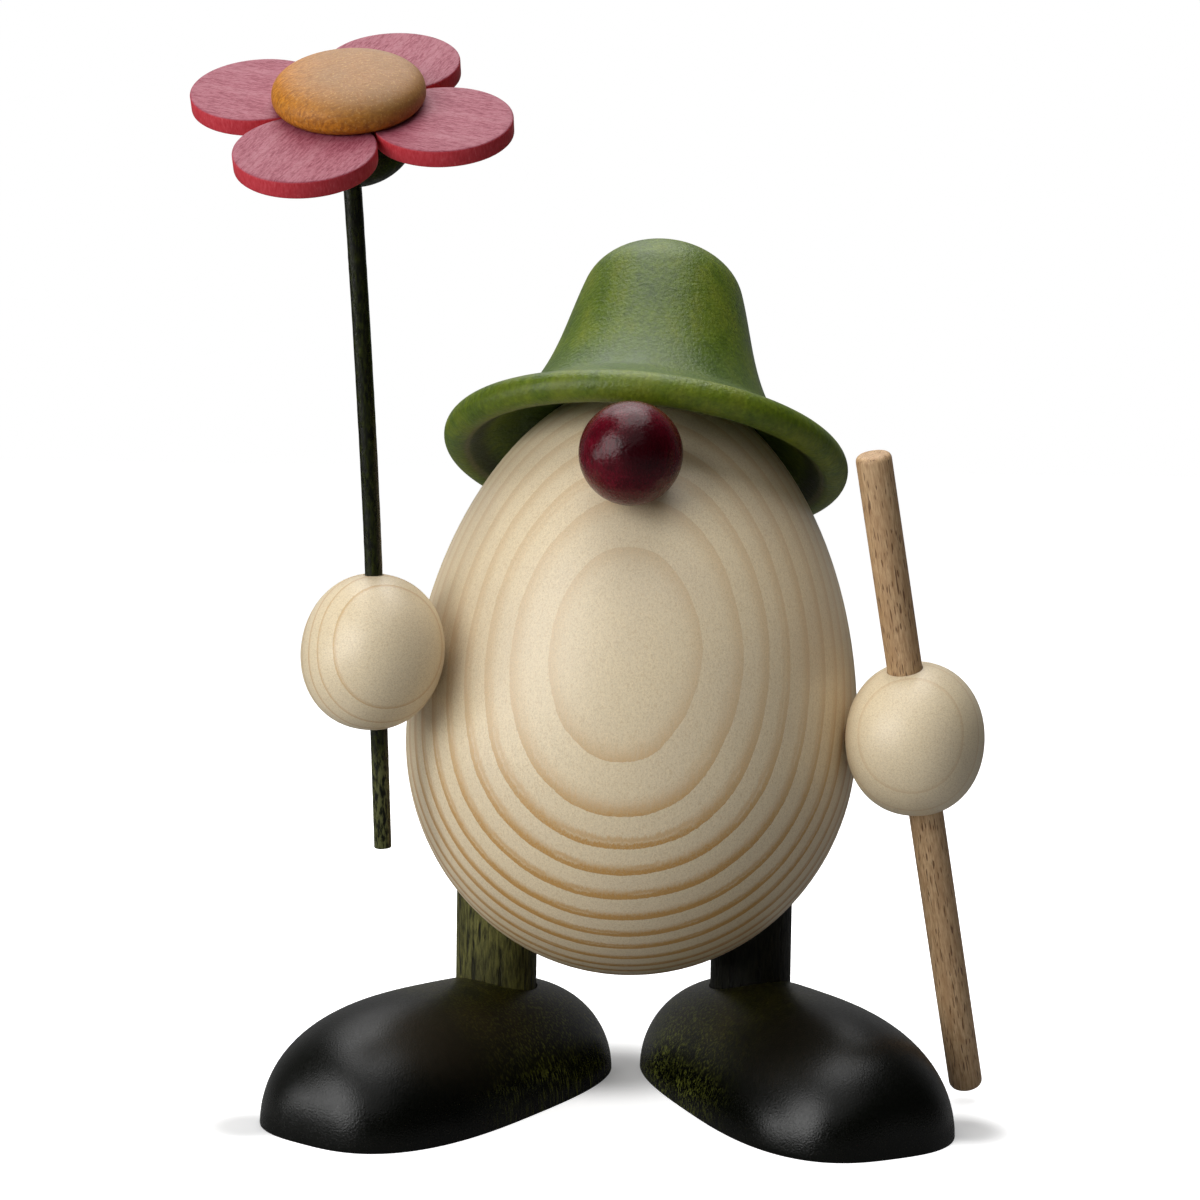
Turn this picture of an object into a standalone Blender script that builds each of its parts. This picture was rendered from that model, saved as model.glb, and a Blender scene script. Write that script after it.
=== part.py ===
"""Turned wooden egghead figurine with a flower, a walking stick and a brimmed hat."""
import math

import bpy
import bmesh
from mathutils import Matrix, Vector

# Every size below is in metres and every angle in degrees.
# Left and right are as seen from the front, which looks towards -Y.

# Fits
GLUE_GAP = 0.00025        # rest between two pieces that touch
DOWEL_FIT = 0.0002        # radial clearance of a glued dowel in its bore
TURNING_FIT = 0.0001      # radial clearance of the stem and the stick in their hands

# Place of the egg's axis, so the box of the whole figure is centred on the origin
BODY_X = 0.0041
BODY_Y = 0.0103

# Egg body
EGG_DIAMETER = 0.076
EGG_UPPER = 0.0607        # widest ring to the top
EGG_LOWER = 0.0396        # widest ring to the bottom
EGG_SLIMMING = 0.034      # how much slimmer than an ellipse the upper half is
EGG_LIFT = 0.0212         # bottom of the egg above the table
EGG_LEAN = 2.4            # towards the stick

# Feet, each half of a turned form sawn lengthwise
FOOT_LENGTH = 0.0717
FOOT_WIDTH = 0.038
FOOT_SQUARENESS = 2.8     # exponent of the outline, 2 is an ellipse
FOOT_TOE_FULLNESS = 0.09  # the toe is fuller than the heel
SOLE_EDGE = 0.0006
LEFT_FOOT_TURN = 36.0     # away from straight ahead
RIGHT_FOOT_TURN = 24.5

# Legs
LEG_DIAMETER = 0.014
LEG_SPACING = 0.584 * EGG_DIAMETER    # between the two axes
LEG_SETBACK = 0.113 * EGG_DIAMETER    # behind the egg's axis
LEGS_OFFSET = -0.0005     # their middle beside the egg's axis
LEGS_TURN = 2.3           # line of the legs, the right one farther back
LEG_TO_FOOT_MIDDLE = 0.0127
LEG_IN_EGG = 0.016
LEG_FARTHEST_OUT = 0.95   # share of the egg's radius at which a leg still meets it
FOOT_UNDER_LEG = 0.006    # wood left between the leg's bore and the sole

# Hands, turned beads seated with one flattened pole on the egg
HAND_DIAMETER = 0.0249
HAND_LENGTH = 0.0218
HAND_FULLNESS = 2.14      # exponent of the bead's outline
FLOWER_HAND_AZIMUTH = 208.8
FLOWER_HAND_HEIGHT = 0.0129   # above the egg's widest ring
STICK_HAND_AZIMUTH = -22.7
STICK_HAND_HEIGHT = 0.0045

# Nose
NOSE_DIAMETER = 0.0161
NOSE_FLAT = 0.0005        # depth of the flat where the ball is drilled
NOSE_AZIMUTH = -95.7
NOSE_UNDER_RIM = 0.0018   # between the ball and the hat's rolled rim
HEIGHT_HALVINGS = 40      # steps in finding the height where that holds

# Pegs hidden between the egg and what is glued to it
PEG_DIAMETER = 0.004
PEG_IN_EGG = 0.008
PEG_IN_HAND = 0.0055
PEG_IN_NOSE = 0.006
PEG_END_ROOM = 0.0005

# Hat, one turned piece
HAT_RIM_RADIUS = 0.0318   # to the middle of the rolled rim
HAT_RIM_THICKNESS = 0.0052
HAT_HEIGHT = 0.0391       # rim's plane to the top
HAT_CROWN_RADIUS = 0.0141
HAT_CROWN_ROUNDING = 0.0107
HAT_SHOULDER_ANGLE = 13.7  # where the rounding of the top meets the side
HAT_WAIST_RADIUS = 0.0215
HAT_WAIST_HEIGHT = 0.0084
HAT_WAIST_FLARE = 1.8     # how fast the crown widens as it meets the brim
HAT_BRIM_DIP = 0.5        # how steeply the brim leaves the waist
HAT_BRIM_RUN = 0.75       # how long the brim runs level into the rolled rim
HAT_UNDER_RISE = 0.33     # how steeply the underside climbs into the hollow
HAT_TILT_BACK = 19.9
HAT_TILT_SIDE = 5.9
HAT_OVER_EGG = 0.0132     # egg's top above the rim's plane
HAT_FORWARD = -0.0045
HAT_SIDEWAYS = -0.0008
HAT_HOLLOW_DEPTH = 0.008
HAT_HOLLOW_EDGE = 0.0044  # depth where the hollow's flat roof turns down to the brim
HAT_RIM_START = 100.0     # where the rolled rim leaves the top of the brim
HAT_RIM_END = -130.0      # and where it runs into the brim's underside

# Walking stick
STICK_DIAMETER = 0.0056
STICK_LENGTH = 0.113
STICK_CHAMFER = 0.0008
STICK_LIFT = 0.0018       # its lower end above the table
STICK_LEAN_FORWARD = 15.4
STICK_LEAN_IN = 11.6

# Flower's stem
STEM_DIAMETER = 0.0028
STEM_LOWER_LENGTH = 0.032        # from the hand's centre to the lower end
STEM_UPPER_LENGTH = 0.0823       # from the hand's centre to the petals, along the bore
STEM_STRAIGHT_LENGTH = 0.014     # stays straight this far above the hand's centre
STEM_BEND_OFFSET = 0.006         # how far the top bends out of the bore's axis
STEM_BEND_POWER = 1.5
STEM_BEND_AZIMUTH = 260.6
STEM_IN_CALYX = 0.0015    # end of the stem below the calyx's flat
STEM_BORE_OFFSET = 0.0006  # bore's axis beside the bead's centre
STEM_LEAN_FORWARD = 5.5
STEM_LEAN_SIDE = 1.8

# Flower's head
PETAL_COUNT = 4
PETAL_RADIUS = 0.0105
PETAL_THICKNESS = 0.00265
PETAL_EDGE = 0.0002
PETAL_SPACING = 0.0004    # between two neighbouring discs
PETAL_TURN = -21.1
HEAD_NOD = 29.5
HEAD_OFFSET = 0.0005      # head beside the end of the stem
CALYX_RADIUS = 0.0102
CALYX_DEPTH = 0.0097
CENTRE_RADIUS = 0.0116
CENTRE_RISE = 0.0016      # flat underside to the widest ring
CENTRE_CROWN = 0.0041     # widest ring to the top
CENTRE_FULLNESS = 2.35    # exponent of the crown, 2 is an ellipse
CENTRE_UNDERCUT = 23.0    # how far round the underside curls in, from the widest ring

# Facets around each round piece, and along its profile
ROUND_LARGE = 44
ROUND_DISC = 36
ROUND_MEDIUM = 28
ROUND_SMALL = 20
EGG_RINGS = 24
FOOT_RINGS = 20
HAND_RINGS = 15
CROWN_RINGS = 6
CROWN_SIDE_STEPS = 6
RIM_STEPS = 8
BRIM_STEPS = 4
NOSE_RINGS = 11
CALYX_RINGS = 8
CENTRE_RINGS = 8
CENTRE_UNDERCUT_RINGS = 3
STEM_STEPS = 14


def clear_scene():
    for ob in list(bpy.data.objects):
        bpy.data.objects.remove(ob, do_unlink=True)


def new_collection(name):
    collection = bpy.data.collections.new(name)
    bpy.context.scene.collection.children.link(collection)
    return collection


def new_material(name, colour, roughness):
    material = bpy.data.materials.new(name)
    material.use_nodes = True
    shader = material.node_tree.nodes["Principled BSDF"]
    shader.inputs["Base Color"].default_value = (*colour, 1.0)
    shader.inputs["Roughness"].default_value = roughness
    shader.inputs["Metallic"].default_value = 0.0
    material.diffuse_color = (*colour, 1.0)
    return material


def shade(mesh):
    mesh.shade_smooth()
    mesh.set_sharp_from_angle(angle=math.radians(35))


def add_object(name, mesh, collection, material=None, matrix=None, parent=None):
    ob = bpy.data.objects.new(name, mesh)
    collection.objects.link(ob)
    if material is not None:
        mesh.materials.append(material)
    if parent is not None:
        ob.parent = parent
    if matrix is not None:
        ob.matrix_basis = matrix
    return ob


def add_empty(name, collection, location, rotation, parent=None):
    empty = bpy.data.objects.new(name, None)
    empty.empty_display_size = 0.01
    collection.objects.link(empty)
    empty.parent = parent
    empty.location = location
    empty.rotation_euler = [math.radians(angle) for angle in rotation]
    bpy.context.view_layer.update()
    return empty


def turned_mesh(name, profile, steps, turn=360.0):
    """Turn a profile of (radius, height) points, listed from top to bottom."""
    outline = bpy.data.meshes.new(name + "_profile")
    points = [(radius, 0.0, height) for radius, height in profile]
    edges = [(i, i + 1) for i in range(len(points) - 1)]
    outline.from_pydata(points, edges, [])
    helper = bpy.data.objects.new(name + "_turning", outline)
    bpy.context.scene.collection.objects.link(helper)
    screw = helper.modifiers.new("turn", "SCREW")
    screw.axis = "Z"
    screw.angle = math.radians(turn)
    screw.steps = steps
    screw.render_steps = steps
    screw.use_merge_vertices = True
    screw.merge_threshold = 0.00001
    bpy.context.view_layer.update()
    depsgraph = bpy.context.evaluated_depsgraph_get()
    mesh = bpy.data.meshes.new_from_object(helper.evaluated_get(depsgraph))
    mesh.name = name
    bpy.data.objects.remove(helper, do_unlink=True)
    bpy.data.meshes.remove(outline)
    shade(mesh)
    return mesh


def cylinder_mesh(name, radius, bottom, top, segments):
    bm = bmesh.new()
    middle = Matrix.Translation((0.0, 0.0, (bottom + top) / 2))
    bmesh.ops.create_cone(
        bm, cap_ends=True, segments=segments, radius1=radius, radius2=radius,
        depth=top - bottom, matrix=middle)
    mesh = bpy.data.meshes.new(name)
    bm.to_mesh(mesh)
    bm.free()
    shade(mesh)
    return mesh


def add_cutter(name, mesh, collection, matrix):
    cutter = add_object(name, mesh, collection, matrix=matrix)
    cutter.hide_render = True
    cutter.display_type = "WIRE"
    return cutter


def cut(ob, cutter):
    boolean = ob.modifiers.new("cut_" + cutter.name, "BOOLEAN")
    boolean.operation = "DIFFERENCE"
    boolean.solver = "EXACT"
    boolean.object = cutter


def bevel(ob, width, segments):
    modifier = ob.modifiers.new("edge", "BEVEL")
    modifier.width = width
    modifier.segments = segments
    modifier.limit_method = "ANGLE"
    modifier.angle_limit = math.radians(50)


def along(point, direction):
    """Matrix whose origin is at a point and whose Z runs along a direction."""
    return Matrix.Translation(point) @ direction.to_track_quat("Z", "Y").to_matrix().to_4x4()


# Egg

EGG_CENTRE = Vector((BODY_X, BODY_Y, EGG_LIFT + EGG_LOWER))
EGG_MATRIX = Matrix.Translation(EGG_CENTRE) @ Matrix.Rotation(math.radians(EGG_LEAN), 4, "Y")


def egg_radius(angle, grown=0.0):
    """Radius of the egg at an angle above its widest ring, seen from the centre."""
    slim = 1.0 - EGG_SLIMMING * max(math.sin(angle), 0.0) ** 2
    return (EGG_DIAMETER / 2 + grown) * math.cos(angle) * slim


def egg_height(angle, grown=0.0):
    half = EGG_UPPER if angle > 0.0 else EGG_LOWER
    return (half + grown) * math.sin(angle)


def egg_profile(rings, grown=0.0):
    points = []
    for i in range(rings + 1):
        angle = math.pi / 2 - math.pi * i / rings
        radius = 0.0 if i in (0, rings) else egg_radius(angle, grown)
        points.append((radius, egg_height(angle, grown)))
    return points


def egg_seat(azimuth, height):
    """Point on the egg and its outward direction, in world space."""
    half = EGG_UPPER if height > 0.0 else EGG_LOWER
    angle = math.asin(height / half)
    step = 0.001
    rise = egg_height(angle + step) - egg_height(angle - step)
    widen = egg_radius(angle + step) - egg_radius(angle - step)
    around = Vector((math.cos(math.radians(azimuth)), math.sin(math.radians(azimuth)), 0.0))
    point = around * egg_radius(angle) + Vector((0.0, 0.0, height))
    outward = (around * rise - Vector((0.0, 0.0, widen))).normalized()
    return EGG_MATRIX @ point, (EGG_MATRIX.to_3x3() @ outward).normalized()


def make_egg(parts, material):
    mesh = turned_mesh("egg_body", egg_profile(EGG_RINGS), ROUND_LARGE)
    return add_object("egg_body", mesh, parts, material, EGG_MATRIX)


def make_egg_seat_cutter(cutters):
    mesh = turned_mesh("egg_seat_cutter", egg_profile(EGG_RINGS, GLUE_GAP), ROUND_LARGE)
    return add_cutter("egg_seat_cutter", mesh, cutters, EGG_MATRIX)


# Feet and legs

def foot_half_width(share):
    """Half width of the foot at a share of its half length, toe positive."""
    outline = (1.0 - abs(share) ** FOOT_SQUARENESS) ** (1.0 / FOOT_SQUARENESS)
    return FOOT_WIDTH / 2 * outline * (1.0 + FOOT_TOE_FULLNESS * share)


def foot_mesh(name):
    profile = []
    for i in range(FOOT_RINGS + 1):
        share = math.cos(math.pi * i / FOOT_RINGS)
        radius = 0.0 if i in (0, FOOT_RINGS) else foot_half_width(share)
        profile.append((radius, share * FOOT_LENGTH / 2))
    mesh = turned_mesh(name, profile, ROUND_MEDIUM // 2, turn=180.0)
    bm = bmesh.new()
    bm.from_mesh(mesh)
    rim = [edge for edge in bm.edges if edge.is_boundary]
    bmesh.ops.contextual_create(bm, geom=rim)
    bmesh.ops.recalc_face_normals(bm, faces=bm.faces)
    lay_down = Matrix(((0, 0, 1, 0), (1, 0, 0, 0), (0, 1, 0, 0), (0, 0, 0, 1)))
    bmesh.ops.transform(bm, matrix=lay_down, verts=bm.verts)
    bm.to_mesh(mesh)
    bm.free()
    shade(mesh)
    return mesh


def leg_places():
    """Side, its sign, the leg's axis and the way the foot points."""
    turns = {"left": -90.0 - LEFT_FOOT_TURN, "right": -90.0 + RIGHT_FOOT_TURN}
    for side, sign in (("left", -1), ("right", 1)):
        apart = Vector((sign * LEG_SPACING / 2, 0.0, 0.0))
        apart.rotate(Matrix.Rotation(math.radians(LEGS_TURN), 3, "Z"))
        axis = Vector((BODY_X + LEGS_OFFSET, BODY_Y + LEG_SETBACK, 0.0)) + apart
        yield side, axis, math.radians(turns[side])


def leg_top(axis):
    """Height of the leg's upper end inside the egg."""
    reach = math.hypot(axis.x - BODY_X, axis.y - BODY_Y)
    share = min(reach / (EGG_DIAMETER / 2), LEG_FARTHEST_OUT)
    surface = EGG_CENTRE.z - EGG_LOWER * math.sqrt(1.0 - share ** 2)
    return surface + LEG_IN_EGG


def make_legs(parts, cutters, egg, foot_material, leg_material):
    leg_bore = LEG_DIAMETER / 2 + DOWEL_FIT
    for side, axis, turn in leg_places():
        ahead = Vector((math.cos(turn), math.sin(turn), 0.0))
        place = Matrix.Translation(axis + ahead * LEG_TO_FOOT_MIDDLE)
        place = place @ Matrix.Rotation(turn, 4, "Z")
        foot = add_object(side + "_foot", foot_mesh(side + "_foot"), parts, foot_material, place)
        bevel(foot, SOLE_EDGE, 2)
        top = leg_top(axis)
        stand = Matrix.Translation(axis)
        mesh = cylinder_mesh(side + "_leg", LEG_DIAMETER / 2, FOOT_UNDER_LEG + GLUE_GAP, top,
                             ROUND_MEDIUM)
        add_object(side + "_leg", mesh, parts, leg_material, stand)
        mesh = cylinder_mesh(side + "_leg_bore", leg_bore, FOOT_UNDER_LEG,
                             top + PEG_END_ROOM, ROUND_MEDIUM)
        cutter = add_cutter(side + "_leg_bore", mesh, cutters, stand)
        cut(foot, cutter)
        cut(egg, cutter)


# Hands and pegs

def bead_profile(rings):
    """A bead flattened towards its poles, drilled for a peg at the lower one."""
    radius = HAND_DIAMETER / 2
    half = HAND_LENGTH / 2
    bore = PEG_DIAMETER / 2 + DOWEL_FIT
    points = [(0.0, half)]
    for i in range(1, rings):
        height = math.cos(math.pi * i / rings)
        width = radius * (1.0 - abs(height) ** HAND_FULLNESS) ** (1.0 / HAND_FULLNESS)
        if height < 0.0 and width <= bore:
            continue
        points.append((width, height * half))
    mouth = half * (1.0 - (bore / radius) ** HAND_FULLNESS) ** (1.0 / HAND_FULLNESS)
    floor = -half + PEG_IN_HAND + PEG_END_ROOM
    return points + [(bore, -mouth), (bore, floor), (0.0, floor)]


def make_peg(name, parts, cutters, egg, material, seat, outward, reach):
    """A dowel across the seam, and its bore in the egg."""
    place = along(seat, outward)
    mesh = cylinder_mesh(name, PEG_DIAMETER / 2, -PEG_IN_EGG, reach, ROUND_SMALL)
    add_object(name, mesh, parts, material, place)
    mesh = cylinder_mesh(name + "_bore", PEG_DIAMETER / 2 + DOWEL_FIT,
                         -PEG_IN_EGG - PEG_END_ROOM, 2 * PEG_END_ROOM + reach, ROUND_SMALL)
    cut(egg, add_cutter(name + "_bore", mesh, cutters, place))


def make_hand(name, azimuth, height, parts, cutters, egg, materials):
    seat, outward = egg_seat(azimuth, height)
    centre = seat + outward * (GLUE_GAP + HAND_LENGTH / 2)
    mesh = turned_mesh(name, bead_profile(HAND_RINGS), ROUND_MEDIUM)
    hand = add_object(name, mesh, parts, materials["pale wood"], along(centre, outward))
    make_peg(name + "_peg", parts, cutters, egg, materials["beech"], seat, outward,
             GLUE_GAP + PEG_IN_HAND)
    return hand, centre


# Hat

def arc(centre, radius, start, end, steps):
    """Points on a round, from one angle to another, as (radius, height)."""
    points = []
    for i in range(steps + 1):
        angle = math.radians(start + (end - start) * i / steps)
        points.append((centre[0] + radius * math.cos(angle), centre[1] + radius * math.sin(angle)))
    return points


def flare(start, start_slope, end, end_slope, steps):
    """Points on a smooth curve between two (radius, height) points with given directions."""
    points = []
    for i in range(1, steps):
        t = i / steps
        weights = (2 * t ** 3 - 3 * t ** 2 + 1, t ** 3 - 2 * t ** 2 + t,
                   3 * t ** 2 - 2 * t ** 3, t ** 3 - t ** 2)
        given = (start, start_slope, end, end_slope)
        points.append(tuple(sum(w * p[k] for w, p in zip(weights, given)) for k in (0, 1)))
    return points


def hat_profile():
    rim = HAT_RIM_THICKNESS / 2
    waist = (HAT_WAIST_RADIUS, HAT_WAIST_HEIGHT)
    points = [(0.0, HAT_HEIGHT)]
    for i in range(1, CROWN_RINGS + 1):
        angle = math.radians(90.0 + (HAT_SHOULDER_ANGLE - 90.0) * i / CROWN_RINGS)
        drop = HAT_CROWN_ROUNDING * (1.0 - math.sin(angle))
        points.append((HAT_CROWN_RADIUS * math.cos(angle), HAT_HEIGHT - drop))
    shoulder = points[-1]
    side = (waist[0] - shoulder[0], waist[1] - shoulder[1])
    widening = HAT_CROWN_RADIUS / HAT_CROWN_ROUNDING * math.tan(math.radians(HAT_SHOULDER_ANGLE))
    points += flare(shoulder, (-side[1] * widening, side[1]), waist,
                    (side[0] * HAT_WAIST_FLARE, side[1]), CROWN_SIDE_STEPS)
    points.append(waist)
    rolled_rim = arc((HAT_RIM_RADIUS, 0.0), rim, HAT_RIM_START, HAT_RIM_END, RIM_STEPS)
    brim_width = HAT_RIM_RADIUS - HAT_WAIST_RADIUS
    dip = brim_width * HAT_BRIM_DIP
    run = brim_width * HAT_BRIM_RUN
    rise = brim_width * HAT_UNDER_RISE
    points += flare(waist, (dip, -dip), rolled_rim[0], (run, 0.0), BRIM_STEPS)
    points += rolled_rim
    hollow_edge = (HAT_WAIST_RADIUS, HAT_HOLLOW_EDGE)
    points += flare(rolled_rim[-1], (-dip, rise), hollow_edge, (-run, rise), BRIM_STEPS)
    points.append(hollow_edge)
    points.append((0.0, HAT_HOLLOW_DEPTH))
    return points


def hat_matrix():
    """The hat's place on the egg. Its own Z is the axis it was turned on."""
    egg_top = EGG_MATRIX @ Vector((HAT_SIDEWAYS, 0.0, EGG_UPPER))
    seat = egg_top - Vector((0.0, HAT_FORWARD, HAT_OVER_EGG))
    side = Matrix.Rotation(math.radians(HAT_TILT_SIDE), 4, "Y")
    back = Matrix.Rotation(math.radians(-HAT_TILT_BACK), 4, "X")
    return Matrix.Translation(seat) @ side @ back


def make_hat(parts, material, egg_cutter):
    mesh = turned_mesh("hat", hat_profile(), ROUND_LARGE)
    hat = add_object("hat", mesh, parts, material, hat_matrix())
    cut(hat, egg_cutter)


# Nose

def ball_profile(rings):
    """The nose's ball with a small drilled flat at its lower pole."""
    radius = NOSE_DIAMETER / 2
    bore = PEG_DIAMETER / 2 + DOWEL_FIT
    flat = radius - NOSE_FLAT
    last = math.acos(-flat / radius)
    points = [(0.0, radius)]
    for i in range(1, rings + 1):
        angle = last * i / rings
        points.append((radius * math.sin(angle), radius * math.cos(angle)))
    floor = -flat + PEG_IN_NOSE + PEG_END_ROOM
    return points + [(bore, -flat), (bore, floor), (0.0, floor)]


def nose_place(height):
    """The ball's centre, its seat on the egg and the way it faces, at a height on the egg."""
    seat, outward = egg_seat(NOSE_AZIMUTH, height)
    return seat + outward * (GLUE_GAP + NOSE_DIAMETER / 2 - NOSE_FLAT), seat, outward


def nose_room(height):
    """Clear distance between the ball and the hat's rolled rim."""
    centre = hat_matrix().inverted() @ nose_place(height)[0]
    beside = math.hypot(centre.x, centre.y) - HAT_RIM_RADIUS
    return math.hypot(beside, centre.z) - (HAT_RIM_THICKNESS + NOSE_DIAMETER) / 2


def nose_height():
    """The height at which the ball sits just under the rim, found by halving."""
    low, high = 0.0, EGG_UPPER
    for _ in range(HEIGHT_HALVINGS):
        middle = (low + high) / 2
        if nose_room(middle) > NOSE_UNDER_RIM:
            low = middle
        else:
            high = middle
    return low


def make_nose(parts, cutters, egg, materials):
    centre, seat, outward = nose_place(nose_height())
    mesh = turned_mesh("nose", ball_profile(NOSE_RINGS), ROUND_MEDIUM)
    add_object("nose", mesh, parts, materials["wine red"], along(centre, outward))
    make_peg("nose_peg", parts, cutters, egg, materials["beech"], seat, outward,
             GLUE_GAP + PEG_IN_NOSE)


# Walking stick

def make_stick(parts, cutters, hand, centre, material):
    lean = (STICK_LEAN_FORWARD, -STICK_LEAN_IN, 0.0)
    axis = add_empty("stick_axis", parts, centre, lean)
    upright = axis.matrix_world.to_3x3() @ Vector((0.0, 0.0, 1.0))
    edge = STICK_DIAMETER / 2 * math.sqrt(1.0 - upright.z ** 2)
    below = (centre.z - STICK_LIFT - edge) / upright.z
    mesh = cylinder_mesh("walking_stick", STICK_DIAMETER / 2, -below, STICK_LENGTH - below,
                         ROUND_SMALL)
    stick = add_object("walking_stick", mesh, parts, material, parent=axis)
    bevel(stick, STICK_CHAMFER, 1)
    mesh = cylinder_mesh("stick_bore", STICK_DIAMETER / 2 + TURNING_FIT, -HAND_DIAMETER,
                         HAND_DIAMETER, ROUND_SMALL)
    cut(hand, add_cutter("stick_bore", mesh, cutters, axis.matrix_world.copy()))


# Flower

def stem_bend(height):
    """How far the stem stands off the bore's axis at a height above the hand's centre."""
    share = max(height - STEM_STRAIGHT_LENGTH, 0.0) / (STEM_UPPER_LENGTH - STEM_STRAIGHT_LENGTH)
    offset = STEM_BEND_OFFSET * share ** STEM_BEND_POWER
    turn = math.radians(STEM_BEND_AZIMUTH)
    return Vector((offset * math.cos(turn), offset * math.sin(turn), height))


def curve_object(name, points, radius, collection):
    curve = bpy.data.curves.new(name, "CURVE")
    curve.dimensions = "3D"
    curve.bevel_depth = radius
    curve.bevel_resolution = 3
    curve.use_fill_caps = True
    spline = curve.splines.new("POLY")
    spline.points.add(len(points) - 1)
    for target, point in zip(spline.points, points):
        target.co = (*point, 1.0)
    ob = bpy.data.objects.new(name, curve)
    collection.objects.link(ob)
    return ob


def make_stem(parts, cutters, hand, axis, material):
    end = STEM_UPPER_LENGTH - STEM_IN_CALYX
    points = [Vector((0.0, 0.0, -STEM_LOWER_LENGTH)), Vector((0.0, 0.0, STEM_STRAIGHT_LENGTH))]
    for i in range(1, STEM_STEPS + 1):
        points.append(stem_bend(STEM_STRAIGHT_LENGTH + (end - STEM_STRAIGHT_LENGTH) * i / STEM_STEPS))
    stem = curve_object("flower_stem", points, STEM_DIAMETER / 2, parts)
    stem.data.materials.append(material)
    stem.parent = axis
    mesh = cylinder_mesh("stem_bore", STEM_DIAMETER / 2 + TURNING_FIT, -HAND_DIAMETER,
                         HAND_DIAMETER, ROUND_SMALL)
    cut(hand, add_cutter("stem_bore", mesh, cutters, axis.matrix_world.copy()))


def calyx_profile(rings):
    points = [(0.0, 0.0), (CALYX_RADIUS, 0.0)]
    for i in range(1, rings):
        angle = math.pi / 2 * i / rings
        points.append((CALYX_RADIUS * math.cos(angle), -CALYX_DEPTH * math.sin(angle)))
    return points + [(0.0, -CALYX_DEPTH)]


def centre_profile(rings):
    """A full crown above the widest ring, and an undercut down to the flat underside."""
    points = [(0.0, CENTRE_RISE + CENTRE_CROWN)]
    for i in range(1, rings + 1):
        angle = math.pi / 2 * (1.0 - i / rings)
        points.append((CENTRE_RADIUS * math.cos(angle) ** (2 / CENTRE_FULLNESS),
                       CENTRE_RISE + CENTRE_CROWN * math.sin(angle) ** (2 / CENTRE_FULLNESS)))
    for i in range(1, CENTRE_UNDERCUT_RINGS + 1):
        angle = CENTRE_UNDERCUT * i / CENTRE_UNDERCUT_RINGS
        points.append((CENTRE_RADIUS * math.cos(math.radians(angle)),
                       CENTRE_RISE * (1.0 - i / CENTRE_UNDERCUT_RINGS)))
    return points + [(0.0, 0.0)]


def make_petals(parts, material, head):
    reach = (2 * PETAL_RADIUS + PETAL_SPACING) / (2 * math.sin(math.pi / PETAL_COUNT))
    for i in range(PETAL_COUNT):
        turn = math.radians(PETAL_TURN + 360.0 * i / PETAL_COUNT)
        mesh = cylinder_mesh("petal", PETAL_RADIUS, 0.0, PETAL_THICKNESS, ROUND_DISC)
        place = Matrix.Translation((reach * math.cos(turn), reach * math.sin(turn), 0.0))
        petal = add_object("petal_%d" % (i + 1), mesh, parts, material, place, head)
        bevel(petal, PETAL_EDGE, 1)


def make_flower(parts, cutters, hand, centre, materials):
    lean = (STEM_LEAN_FORWARD, -STEM_LEAN_SIDE, 0.0)
    place = centre + Vector((STEM_BORE_OFFSET, 0.0, 0.0))
    axis = add_empty("flower_axis", parts, place, lean)
    make_stem(parts, cutters, hand, axis, materials["stem green"])
    place = stem_bend(STEM_UPPER_LENGTH) + Vector((HEAD_OFFSET, 0.0, 0.0))
    head = add_empty("flower_head", parts, place, (HEAD_NOD, 0.0, 0.0), axis)
    mesh = turned_mesh("flower_calyx", calyx_profile(CALYX_RINGS), ROUND_MEDIUM)
    calyx = add_object("flower_calyx", mesh, parts, materials["stem green"], parent=head)
    calyx.location = (0.0, 0.0, -GLUE_GAP)
    entry = stem_bend(STEM_UPPER_LENGTH - STEM_IN_CALYX)
    lower = stem_bend(STEM_UPPER_LENGTH - CALYX_DEPTH)
    start = axis.matrix_world @ lower
    rising = ((axis.matrix_world @ entry) - start).normalized()
    length = (entry - lower).length
    mesh = cylinder_mesh("calyx_bore", STEM_DIAMETER / 2 + DOWEL_FIT, -CALYX_DEPTH,
                         length + PEG_END_ROOM, ROUND_SMALL)
    cut(calyx, add_cutter("calyx_bore", mesh, cutters, along(start, rising)))
    make_petals(parts, materials["petal red"], head)
    mesh = turned_mesh("flower_centre", centre_profile(CENTRE_RINGS), ROUND_DISC)
    dome = add_object("flower_centre", mesh, parts, materials["ochre"], parent=head)
    dome.location = (0.0, 0.0, PETAL_THICKNESS + GLUE_GAP)


def make_materials():
    return {
        "pale wood": new_material("pale_wood", (0.72, 0.58, 0.40), 0.45),
        "beech": new_material("beech", (0.50, 0.33, 0.20), 0.55),
        "hat green": new_material("hat_green", (0.09, 0.16, 0.03), 0.35),
        "wine red": new_material("wine_red", (0.13, 0.01, 0.02), 0.3),
        "foot black": new_material("foot_black", (0.012, 0.014, 0.008), 0.35),
        "leg green": new_material("leg_green", (0.025, 0.03, 0.012), 0.5),
        "stem green": new_material("stem_green", (0.02, 0.03, 0.01), 0.3),
        "petal red": new_material("petal_red", (0.50, 0.11, 0.14), 0.5),
        "ochre": new_material("ochre", (0.52, 0.27, 0.06), 0.45),
    }


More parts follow.
